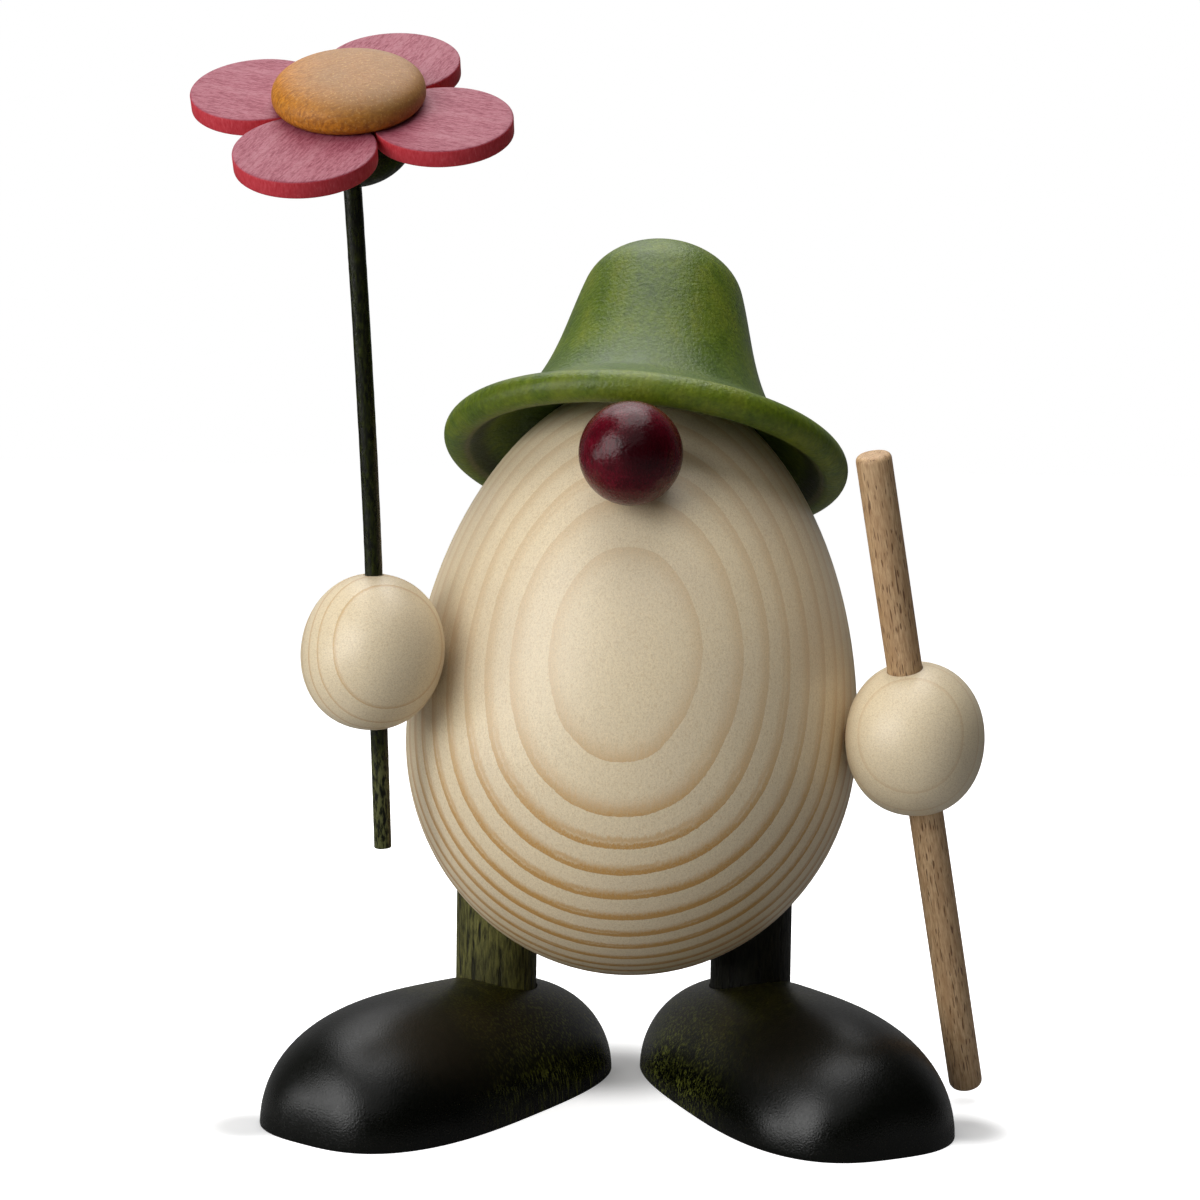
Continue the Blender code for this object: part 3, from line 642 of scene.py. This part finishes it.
legLooks = {
    # Both legs have one stain; the right leg's much darker tones are painted shade.
    "left": {"light": (114, 112, 58), "dark": (30, 29, 12)},
    "right": {"light": (34, 34, 18), "dark": (6, 7, 3)},
    "crack": (8, 8, 4), "grainSize": 0.4, "crackSize": 0.9, "patchSize": 5.0,
    "crackSpan": ((0.36, 1.0), (0.42, 0.0)), "crackShare": 0.85, "crackDepth": 0.8,
    "patchShare": (0.4, 0.65, 0.0, 0.4),
    "roughness": (0.62, 0.46), "relief": 0.16, "shine": 0.2,
    "lathe": 72, "lengthSteps": 24,
}


def legFinish(side):
    finish, tree, shader, vector = startFinish(side + "LegStain", legs[side], (0, 0, 0))
    grain = noise(tree, vector, legLooks["grainSize"], stretch=(1, 1, 7), detail=4, roughness=0.7)
    cracks = noise(tree, vector, legLooks["crackSize"], stretch=(1, 1, 9), detail=2, shift=(3, 1, 0))
    patch = noise(tree, vector, legLooks["patchSize"], stretch=(1, 1, 2), detail=2)
    # The right leg's tones are painted shade on the same stain as the left.
    colour = ramp(tree, grain, [(0.34, legLooks[side]["dark"]), (0.66, legLooks[side]["light"])])
    split = greyRamp(tree, cracks, legLooks["crackSpan"])
    colour = mixTones(tree, times(tree, split, legLooks["crackShare"]), colour, legLooks["crack"])
    colour = mixTones(tree, between(tree, patch, *legLooks["patchShare"]), colour, legLooks[side]["dark"])
    height = maths(tree, "SUBTRACT", grain, times(tree, split, legLooks["crackDepth"]))
    rough = between(tree, grain, *noiseSpan, *legLooks["roughness"])
    wire(tree, shader, colour, rough, height, legLooks)
    return finish


def makeLeg(side):
    radius, bottom, top, cut = legs["radius"], legs["bottom"], legTop(side), legs["chamfer"]
    steps = legLooks["lengthSteps"]
    profile = [(0, top), (radius - cut, top), (radius, top - cut)]
    profile += [(radius, top - cut - (top - bottom - 2 * cut) * step / steps) for step in range(1, steps)]
    profile += [(radius, bottom + cut), (radius - cut, bottom), (0, bottom)]
    piece = turnOnLathe(side + "LegDowel", profile, legLooks["lathe"])
    putInPlace(piece, legs[side], (0, 0, 0))
    smoothShade(piece)
    handOver(piece, "figure", "leg_green", legFinish(side), side + "_leg")


# Feet, two halves of one turned form

feet = {
    "left": {"at": (-26.039, 7.7229, 0), "turn": -126.0, "fleckStretch": (1, 1, 11)},
    "right": {"at": (31.0407, 8.2221, 0), "turn": -65.5, "fleckStretch": (1, 1, 2.2)},
    "length": 71.7, "width": 38.0, "squareness": 2.8, "toeFullness": 0.09,
    "soleEdge": 0.6, "boreFloor": 6.0, "boreTop": 30, "profileSteps": 72, "lathe": 48,
    "black": (3, 4, 1), "green": (124, 130, 54), "brown": (46, 38, 10),
    "fleck": 0.38, "skin": 0.5, "patch": 9.0, "peel": 0.3,
    # The flecks and the brown start at the first of two places along the foot and are full at the second.
    "fleckSpan": ((0.5, 0.0), (0.64, 1.0)), "fleckPlaces": (18.0, -12.0), "fleckPatch": (0.3, 0.65, 0.3, 1.0),
    "fleckShare": 0.85, "brownPlaces": (16.0, -2.0), "brownHeights": (6.0, 17.0),
    "brownPatch": (0.35, 0.65, 0.1, 0.6), "roughHeights": (3.0, 11.0), "roughSkin": (0.3, 0.7, -0.03, 0.04),
    "roughness": (0.24, 0.36),    # near the sole and higher up
    "relief": 0.045, "shine": 0.36,
}


def footProfile():
    points = []
    for step in range(feet["profileSteps"] + 1):
        share = math.cos(math.pi * step / feet["profileSteps"])
        outline = max(1 - abs(share) ** feet["squareness"], 0) ** (1 / feet["squareness"])
        radius = feet["width"] / 2 * outline * (1 + feet["toeFullness"] * share)
        points.append((0 if step in (0, feet["profileSteps"]) else radius, share * feet["length"] / 2))
    return points


def footFinish(side):
    foot = feet[side]
    finish, tree, shader, vector = startFinish(side + "FootStain", foot["at"], (0, 0, foot["turn"]))
    x, y, z = (separate(tree, vector)[axis] for axis in "XYZ")
    fleck = noise(tree, vector, feet["fleck"], stretch=foot["fleckStretch"], detail=2, roughness=0.6)
    skin = noise(tree, vector, feet["skin"], detail=2)
    patch = noise(tree, vector, feet["patch"])
    heel = between(tree, x, *feet["fleckPlaces"])
    flecks = times(tree, greyRamp(tree, fleck, feet["fleckSpan"]), heel)
    flecks = times(tree, flecks, between(tree, patch, *feet["fleckPatch"]))
    colour = mixTones(tree, times(tree, flecks, feet["fleckShare"]), feet["black"], feet["green"])
    brown = times(tree, between(tree, z, *feet["brownHeights"]), between(tree, x, *feet["brownPlaces"]))
    brown = times(tree, brown, between(tree, patch, *feet["brownPatch"]))
    colour = mixTones(tree, brown, colour, feet["brown"])
    rough = between(tree, z, *feet["roughHeights"], *feet["roughness"])
    rough = plus(tree, rough, between(tree, skin, *feet["roughSkin"]))
    peel = noise(tree, vector, feet["peel"], detail=2)
    wire(tree, shader, colour, rough, peel, feet)
    return finish


def makeFoot(side):
    foot = feet[side]
    piece = turnOnLathe(side + "FootHalf", footProfile(), feet["lathe"], sweep=-180)
    setMode("EDIT")
    bpy.ops.mesh.select_mode(type="EDGE")
    bpy.ops.mesh.select_all(action="DESELECT")
    bpy.ops.mesh.select_non_manifold()
    bpy.ops.mesh.edge_face_add()
    selectWhole()
    bpy.ops.mesh.normals_make_consistent(inside=False)
    setMode("OBJECT")
    putInPlace(piece, foot["at"], (90, 0, 90 + foot["turn"]))
    roundEdges(piece, feet["soleEdge"], 3, 50)
    drill(piece, legs[side], (0, 0, 0), legs["radius"] + legs["fit"], feet["boreFloor"], feet["boreTop"])
    smoothShade(piece)
    handOver(piece, "figure", "foot_black", footFinish(side), side + "_foot")


for side in ("left", "right"):
    makeLeg(side)
    makeFoot(side)
print("legs and feet made")


# Walking stick, a beech dowel with broken edges

stick = {
    "at": (49.499, -8.619, 63.955), "turned": (15.4, -11.6, 0),
    "radius": 2.8, "low": -64.839, "length": 113.0, "chamfer": 0.8, "lathe": 64, "lengthSteps": 40,
    "brokenEdge": ((1, 0), (0.62, 0.1), (0.3, 0.34), (0.08, 0.72), (0, 1.2)),    # in and down, in chamfers
    "pale": (208, 176, 136), "tan": (170, 134, 96), "fleck": (96, 64, 40),
}
beech = {
    "grain": 0.3, "band": 1.6, "bandShare": (0.4, 0.65, 0.0, 0.5),
    "fleck": 0.24, "fleckSpan": ((0.64, 0.0), (0.7, 1.0)), "fleckShare": 0.8,
    "roughness": (0.56, 0.44), "relief": 0.05, "shine": 0.35,
}


def beechFinish(name, at, turned, wood):
    finish, tree, shader, vector = startFinish(name, at, turned)
    grain = noise(tree, vector, beech["grain"], stretch=(1, 1, 8), detail=4, roughness=0.66)
    band = noise(tree, vector, beech["band"], stretch=(1, 1, 14), detail=2)
    fleck = noise(tree, vector, beech["fleck"], stretch=(1, 1, 9), detail=0.5, shift=(5, 2, 1))
    colour = ramp(tree, grain, [(0.36, wood["tan"]), (0.62, wood["pale"])])
    colour = mixTones(tree, between(tree, band, *beech["bandShare"]), colour, wood["tan"])
    dark = greyRamp(tree, fleck, beech["fleckSpan"])
    colour = mixTones(tree, times(tree, dark, beech["fleckShare"]), colour, wood["fleck"])
    height = maths(tree, "SUBTRACT", grain, times(tree, dark, beech["fleckShare"]))
    rough = between(tree, grain, *noiseSpan, *beech["roughness"])
    wire(tree, shader, colour, rough, height, beech)
    return finish


def makeStick():
    radius, low, cut, steps = stick["radius"], stick["low"], stick["chamfer"], stick["lengthSteps"]
    high = low + stick["length"]
    ends = [(0, 0)] + [(radius - cut * inwards, cut * down) for inwards, down in stick["brokenEdge"]]
    profile = [(width, high - drop) for width, drop in ends]
    span = profile[-1][1] - (low + ends[-1][1])
    profile += [(radius, profile[-1][1] - span * step / steps) for step in range(1, steps)]
    profile += [(width, low + rise) for width, rise in reversed(ends)]
    piece = turnOnLathe("walkingStickDowel", profile, stick["lathe"])
    putInPlace(piece, stick["at"], stick["turned"])
    smoothShade(piece, 50)
    finish = beechFinish("stickBeech", stick["at"], stick["turned"], stick)
    handOver(piece, "stick", "beech", finish, "walking_stick")


makeStick()
print("walking stick turned")


# Flower: bent stem, calyx, four petals and a domed centre

flower = {"headAt": (-39.85, -26.6574, 158.349), "headTurned": (35.0, -1.8, 0), "gap": 0.25}
green = {
    "dark": (9, 11, 3), "light": (46, 52, 10), "paleBelow": (104, 106, 66),
    "grain": 0.4, "drops": 1.1, "dropShare": (0.45, 0.7, 0.0, 0.6), "roughness": (0.2, 0.42),
    "paleBelowHeights": (-14.0, -20.0, 0.0, 0.6), "paleBelowGrain": (0.4, 0.6),    # paler below the hand
}
stem = {
    "at": (-36.8149, -12.8771, 77.0504), "turned": (5.5, -1.8, 0),
    "radius": 1.4, "low": -32.0, "high": 80.8, "straight": 14.0, "upper": 82.3,
    "bend": 6.0, "bendPower": 1.5, "bendWay": 260.6, "step": 0.9, "sides": 40, "edge": 0.15,
    "wrinkle": 0.07, "wrinkleSize": 1.1, "stretch": (1, 1, 4), "relief": 0.09, "shine": 0.22,
}


def stemPoint(height):
    share = max(height - stem["straight"], 0) / (stem["upper"] - stem["straight"])
    offset = stem["bend"] * share ** stem["bendPower"]
    way = math.radians(stem["bendWay"])
    return Vector((offset * math.cos(way), offset * math.sin(way), height))


def greenFinish(name, at, turned, looks):
    finish, tree, shader, vector = startFinish(name, at, turned)
    grain = noise(tree, vector, green["grain"], stretch=looks["stretch"], roughness=0.6)
    drops = noise(tree, vector, green["drops"], stretch=(1, 1, 2))
    colour = ramp(tree, grain, [(0.4, green["dark"]), (0.72, green["light"])])
    colour = mixTones(tree, between(tree, drops, *green["dropShare"]), colour, green["dark"])
    paleBelow = between(tree, separate(tree, vector)["Z"], *green["paleBelowHeights"])
    paleBelow = times(tree, paleBelow, between(tree, grain, *green["paleBelowGrain"]))
    colour = mixTones(tree, paleBelow, colour, green["paleBelow"])
    height = plus(tree, grain, drops)
    rough = between(tree, drops, *noiseSpan, *green["roughness"])
    wire(tree, shader, colour, rough, height, looks)
    return finish


def makeStem():
    deselectAll()
    bpy.ops.mesh.primitive_circle_add(vertices=stem["sides"], radius=stem["radius"] * mm,
                                      fill_type="NGON", location=(0, 0, stem["low"] * mm))
    piece = nameActive("flowerStemRod")
    applyPlace()
    setMode("EDIT")
    bpy.ops.mesh.select_mode(type="FACE")
    selectWhole()
    steps = round((stem["high"] - stem["low"]) / stem["step"])
    rise = (stem["high"] - stem["low"]) / steps
    for step in range(steps):
        height = stem["low"] + rise * step
        move = (stemPoint(height + rise) - stemPoint(height)) * mm
        extrudeBy(move)
    selectWhole()
    bpy.ops.mesh.normals_make_consistent(inside=False)
    setMode("OBJECT")
    roundEdges(piece, stem["edge"], 2, 60)
    bark = bpy.data.textures.new("stemWrinkle", "CLOUDS")
    bark.noise_scale = stem["wrinkleSize"] * mm
    bark.noise_depth = 2
    wrinkle = piece.modifiers.new("wrinkle", "DISPLACE")
    wrinkle.texture = bark
    wrinkle.texture_coords = "LOCAL"
    wrinkle.strength = stem["wrinkle"] * mm
    wrinkle.mid_level = 0.6
    applyModifier(piece, wrinkle)
    putInPlace(piece, stem["at"], stem["turned"])
    smoothShade(piece, 50)
    finish = greenFinish("stemStain", stem["at"], stem["turned"], stem)
    handOver(piece, "flower", "stem_green", finish, "flower_stem")


calyx = {
    "radius": 10.2, "depth": 9.7, "edge": 0.2, "edgeRun": 1.25, "steps": 28, "lathe": 80,
    "boreRunOut": 9.7, "headroom": 0.5, "stretch": (1, 1, 1), "relief": 0.03, "shine": 0.06,
}


def makeCalyx():
    radius, top, edge, steps = calyx["radius"], -flower["gap"], calyx["edge"], calyx["steps"]
    profile = [(0, top), (radius - calyx["edgeRun"] * edge, top), (radius, top - edge)]
    for step in range(1, steps):
        angle = math.pi / 2 * step / steps
        deep = (calyx["depth"] - edge) * math.sin(angle)
        profile.append((radius * math.cos(angle), top - edge - deep))
    profile.append((0, top - calyx["depth"]))
    piece = turnOnLathe("flowerCalyxCup", profile, calyx["lathe"])
    putInPlace(piece, flower["headAt"], flower["headTurned"])
    low = Euler(radiansOf(stem["turned"])).to_matrix() @ stemPoint(stem["upper"] - calyx["depth"])
    high = Euler(radiansOf(stem["turned"])).to_matrix() @ stemPoint(stem["high"])
    way = (high - low).to_track_quat("Z", "Y").to_euler()
    drill(piece, Vector(stem["at"]) + low, [math.degrees(angle) for angle in way],
          stem["radius"] + legs["fit"], -calyx["boreRunOut"],
          (high - low).length + calyx["headroom"])
    smoothShade(piece)
    finish = greenFinish("calyxStain", flower["headAt"], flower["headTurned"], calyx)
    handOver(piece, "flower", "stem_green", finish, "flower_calyx")


petals = {
    "radius": 10.5, "thickness": 2.65, "spacing": 0.4, "turn": -21.1, "edge": 0.28,
    "sanding": 0.03,    # taken off the rim of each disc
    "insets": (1.2, 4.0), "sides": 128,
    # Top and sides are one red stain: the top's fibres are real, its greyer pink is painted sheen.
    "top": (156, 84, 98), "deep": (122, 42, 60), "pale": (170, 110, 120),
    "side": (192, 58, 68), "sideDeep": (182, 44, 54), "sidePale": (202, 88, 92),
    "fibre": 0.26, "cross": 0.3, "broad": 1.6, "upright": 0.3,
    "face": (0.22, 0.02),    # how far under the top the tone of the side ends
    "paleShare": (0.5, 0.72, 0.0, 0.3), "crossShare": (0.5, 0.75, 0.0, 0.3),
    "roughness": (0.62, 0.5), "relief": 0.05, "shine": 0.25,
}


def petalFinish(name, at, turned):
    finish, tree, shader, vector = startFinish(name, at, turned)
    fibre = noise(tree, vector, petals["fibre"], stretch=(5, 1, 4), roughness=0.7)
    cross = noise(tree, vector, petals["cross"], stretch=(1, 4, 4), detail=2)
    broad = noise(tree, vector, petals["broad"], stretch=(9, 1, 3), detail=2)
    upright = noise(tree, vector, petals["upright"], stretch=(1, 1, 3))
    height = separate(tree, vector)["Z"]
    sheenTop = between(tree, height, *(petals["thickness"] - depth for depth in petals["face"]))
    top = ramp(tree, fibre, [(0.33, petals["deep"]), (0.58, petals["top"])])
    top = mixTones(tree, between(tree, broad, *petals["paleShare"]), top, petals["pale"])
    top = mixTones(tree, between(tree, cross, *petals["crossShare"]), top, petals["deep"])
    side = ramp(tree, upright, [(0.35, petals["sideDeep"]), (0.6, petals["side"]),
                                (0.8, petals["sidePale"])])
    # Painted sheen: the top face gets greyer pink tones than the sides.
    colour = mixTones(tree, sheenTop, side, top)
    surface = plus(tree, fibre, times(tree, cross, 0.5))
    rough = between(tree, fibre, *noiseSpan, *petals["roughness"])
    wire(tree, shader, colour, rough, surface, petals)
    return finish


def makePetals():
    reach = (2 * petals["radius"] + petals["spacing"]) / (2 * math.sin(math.pi / 4))
    head = Euler(radiansOf(flower["headTurned"])).to_matrix()
    names = ("right", "back", "left", "front")
    for number, name in enumerate(names):
        turn = petals["turn"] + 90 * number
        deselectAll()
        bpy.ops.mesh.primitive_cylinder_add(
            vertices=petals["sides"], radius=(petals["radius"] - petals["sanding"]) * mm,
            depth=petals["thickness"] * mm,
            location=(0, 0, petals["thickness"] / 2 * mm))
        piece = nameActive(name + "PetalDisc")
        applyPlace()
        setMode("EDIT")
        selectFaces(piece, lambda face: abs(face.normal.z) > 0.9)
        for inset in petals["insets"]:
            bpy.ops.mesh.inset(thickness=inset * mm, use_individual=True)
        setMode("OBJECT")
        roundEdges(piece, petals["edge"], 3, 60)
        angle = math.radians(turn)
        middle = head @ Vector((reach * math.cos(angle), reach * math.sin(angle), 0))
        spun = (head @ Euler((0, 0, angle)).to_matrix()).to_euler()
        at = Vector(flower["headAt"]) + middle
        turned = [math.degrees(part) for part in spun]
        putInPlace(piece, at, turned)
        smoothShade(piece)
        handOver(piece, "flower", "petal_red", petalFinish(name + "PetalStain", at, turned),
                 "petal_%d" % (number + 1))


dome = {
    "radius": 11.5, "rise": 1.2, "crown": 4.2, "fullness": 2.7, "steps": 36,
    "undercut": 20, "undercutSteps": 8, "lathe": 112, "grainTurned": (35, -1.8, 24),
    # "pale" is painted sheen: a greyer ochre on the top of the dome.
    "ochre": (190, 122, 26), "deep": (140, 82, 14), "pale": (142, 104, 60), "dusty": (206, 160, 92),
    "grain": 0.4, "cross": 0.3, "dust": 0.34, "cloud": 6.0,
    "sheenHeights": (0.8, 5.0), "sheenCloud": (0.3, 0.7, 0.75, 0.95),
    "crossShare": (0.5, 0.75, 0.0, 0.35), "dustShare": (0.54, 0.7, 0.0, 0.4),
    "roughness": (0.56, 0.46), "relief": 0.06, "shine": 0.36,
}


def makeCentre():
    base = petals["thickness"] + flower["gap"]
    radius, crown, rise = dome["radius"], dome["crown"], dome["rise"]
    widest, power = base + rise, 2 / dome["fullness"]
    profile = [(0, widest + crown)]
    steps = dome["steps"]
    for step in range(1, steps + 1):
        angle = math.pi / 2 * (1 - step / steps)
        profile.append((radius * math.cos(angle) ** power, widest + crown * math.sin(angle) ** power))
    steps = dome["undercutSteps"]
    for step in range(1, steps + 1):
        angle = math.radians(dome["undercut"] * step / steps)
        profile.append((radius * math.cos(angle), widest - rise * step / steps))
    profile.append((0, base))
    piece = turnOnLathe("flowerCentreDome", profile, dome["lathe"])
    putInPlace(piece, flower["headAt"], flower["headTurned"])
    smoothShade(piece, 45)
    finish, tree, shader, vector = startFinish("centreOchre", flower["headAt"], dome["grainTurned"])
    grain = noise(tree, vector, dome["grain"], stretch=(2.5, 1, 2), roughness=0.66)
    cross = noise(tree, vector, dome["cross"], stretch=(1, 8, 3), detail=2)
    dust = noise(tree, vector, dome["dust"], detail=2, roughness=0.7)
    cloud = noise(tree, vector, dome["cloud"])
    height = separate(tree, vector)["Z"]
    colour = ramp(tree, grain, [(0.34, dome["deep"]), (0.6, dome["ochre"])])
    # Painted sheen: towards the top the dome turns to the greyer "pale" ochre.
    pale = between(tree, height, *(base + rise for rise in dome["sheenHeights"]))
    pale = times(tree, pale, between(tree, cloud, *dome["sheenCloud"]))
    colour = mixTones(tree, pale, colour, dome["pale"])
    colour = mixTones(tree, between(tree, cross, *dome["crossShare"]), colour, dome["deep"])
    colour = mixTones(tree, between(tree, dust, *dome["dustShare"]), colour, dome["dusty"])
    surface = plus(tree, grain, times(tree, dust, 0.6))
    rough = between(tree, grain, *noiseSpan, *dome["roughness"])
    wire(tree, shader, colour, rough, surface, dome)
    handOver(piece, "flower", "ochre", finish, "flower_centre")


makeStem()
makeCalyx()
makePetals()
makeCentre()
print("flower made")

# The three hidden pegs stay as the frame has them and only get the beech finish.
pegBeech = {"pale": (190, 156, 118), "tan": (166, 128, 92), "fleck": (104, 68, 42)}
for peg, node in (("nose", "nose_peg"), ("flower", "flower_hand_peg"), ("stick", "stick_hand_peg")):
    finish = beechFinish(peg + "PegBeech", pegs[peg]["at"], pegs[peg]["turned"], pegBeech)
    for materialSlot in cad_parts[node].material_slots:
        materialSlot.material = finish
print("pegs finished")


# Studio: pale floor, soft lamps, white backdrop and the camera

studio = {
    "ambient": 0.012, "floorGloss": 0.03, "roomGloss": 0.015, "backdropGloss": 0.25,
    "backdropSpan": (0.2, 0.95),    # how far backwards a ray points where the backdrop starts and is full
    "floorSize": 40,                # in metres
    "floorPale": 0.8, "floorBounce": 0.34,    # the paper as the camera sees it and as other rays do
    "floorShine": 0.45,             # share of it that glossy rays see
    "floorGlow": (0.2, 0.8, 1.0), "farEdges": (50, 110),
    # Shadows under the feet: place, where each is fullest and where it ends
    "dimmer": (((1, 24, 0), 6, 24), ((-57, -12, 0), 3, 12), ((59, -9, 0), 3, 12)),
    "dimmest": 0.75,
    "lamps": {
        "keySoftbox": {"at": (-547, -529, 332), "size": 620, "power": 4.2},
        "sideSoftbox": {"at": (-760, -208, 20), "size": 400, "power": 1.6},
        "topSoftbox": {"at": (-35, 0, 784), "size": 780, "power": 4.8},
        "backSoftbox": {"at": (-80, 400, 773), "size": 780, "power": 2.0},
        "frontSoftbox": {"at": (-45, -649, 707), "size": 900, "power": 0.9},
    },
    "aim": (0, 0, 85),
    "cameraAt": (-1.485, -364.316, 108.386), "cameraTurned": (86.31867, -0.84585, 0.05442), "lens": 66.74,
}


# The white that camera and transmission rays see. Glossy rays see it more faintly, as in the photo's dim room.
def seenWhite(tree, gloss):
    path = addNode(tree, "LightPath").outputs
    faint = times(tree, path["Is Glossy Ray"], gloss)
    straight = maths(tree, "MAXIMUM", path["Is Camera Ray"], path["Is Transmission Ray"])
    return maths(tree, "MAXIMUM", straight, faint)


def emptyTree(owner):
    owner.use_nodes = True
    owner.node_tree.nodes.clear()
    return owner.node_tree


def makeFloor():
    deselectAll()
    bpy.ops.mesh.primitive_plane_add(size=studio["floorSize"], location=(0, 0, 0))
    floor = nameActive("studioFloor")
    setMode("EDIT")
    bpy.ops.mesh.subdivide(number_cuts=3)
    setMode("OBJECT")
    finish = bpy.data.materials.new("floorPaper")
    tree = emptyTree(finish)
    seen = seenWhite(tree, studio["floorGloss"])
    dim, soft, full = studio["floorGlow"]
    spread = 1.0
    for at, near, far in studio["dimmer"]:
        reach = lengthOf(tree, ownFrame(tree, at, (0, 0, 0)), (1, 1, 0))
        spread = times(tree, between(tree, reach, near, far), spread)
    value = between(tree, seen, 0.5, 1.0, studio["floorBounce"], studio["floorPale"])
    dimmest = studio["dimmest"]
    value = times(tree, value, maths(tree, "MULTIPLY_ADD", spread, 1 - dimmest, dimmest))
    glossy = addNode(tree, "LightPath").outputs["Is Glossy Ray"]
    value = times(tree, value, maths(tree, "MULTIPLY_ADD", glossy, studio["floorShine"] - 1, 1.0))
    colour = addNode(tree, "CombineColor", {0: value, 1: value, 2: value})
    paper = addNode(tree, "BsdfDiffuse", {"Color": colour.outputs["Color"]})
    glow = maths(tree, "MULTIPLY_ADD", spread, soft - dim, dim)
    reach = lengthOf(tree, ownFrame(tree, (0, 0, 0), (0, 0, 0)), (1, 1, 0))
    glow = plus(tree, glow, between(tree, reach, *studio["farEdges"], 0.0, full - soft))
    glow = times(tree, seen, glow)
    glow = addNode(tree, "Emission", {"Color": (1, 1, 1, 1), "Strength": glow})
    both = addNode(tree, "AddShader", {0: paper.outputs[0], 1: glow.outputs[0]})
    addNode(tree, "OutputMaterial", {"Surface": both.outputs[0]})
    floor.data.materials.append(finish)


def makeWorld():
    world = bpy.data.worlds.new("studioWorld")
    bpy.context.scene.world = world
    tree = emptyTree(world)
    backward = separate(tree, addNode(tree, "TexCoord").outputs["Generated"])["Y"]
    gloss = between(tree, backward, *studio["backdropSpan"], studio["roomGloss"], studio["backdropGloss"])
    strength = maths(tree, "MAXIMUM", seenWhite(tree, gloss), studio["ambient"])
    sky = addNode(tree, "Background", {"Color": (1, 1, 1, 1), "Strength": strength})
    addNode(tree, "OutputWorld", {"Surface": sky.outputs[0]})


def makeLamps():
    for name, lamp in studio["lamps"].items():
        deselectAll()
        at = Vector(lamp["at"])
        way = (Vector(studio["aim"]) - at).to_track_quat("-Z", "Y").to_euler()
        bpy.ops.object.light_add(type="AREA", location=at * mm, rotation=way)
        light = nameActive(name)
        light.data.shape = "DISK"
        light.data.size = lamp["size"] * mm
        light.data.energy = lamp["power"]


def makeCamera():
    deselectAll()
    bpy.ops.object.camera_add(location=[value * mm for value in studio["cameraAt"]],
                              rotation=radiansOf(studio["cameraTurned"]))
    camera = nameActive("photoCamera")
    camera.data.sensor_width = 36
    camera.data.lens = studio["lens"]
    camera.data.clip_start = 0.01
    camera.data.clip_end = 100
    bpy.context.scene.camera = camera


makeFloor()
makeWorld()
makeLamps()
makeCamera()
bpy.context.scene.view_settings.view_transform = "Standard"
deselectAll()
print("studio set")
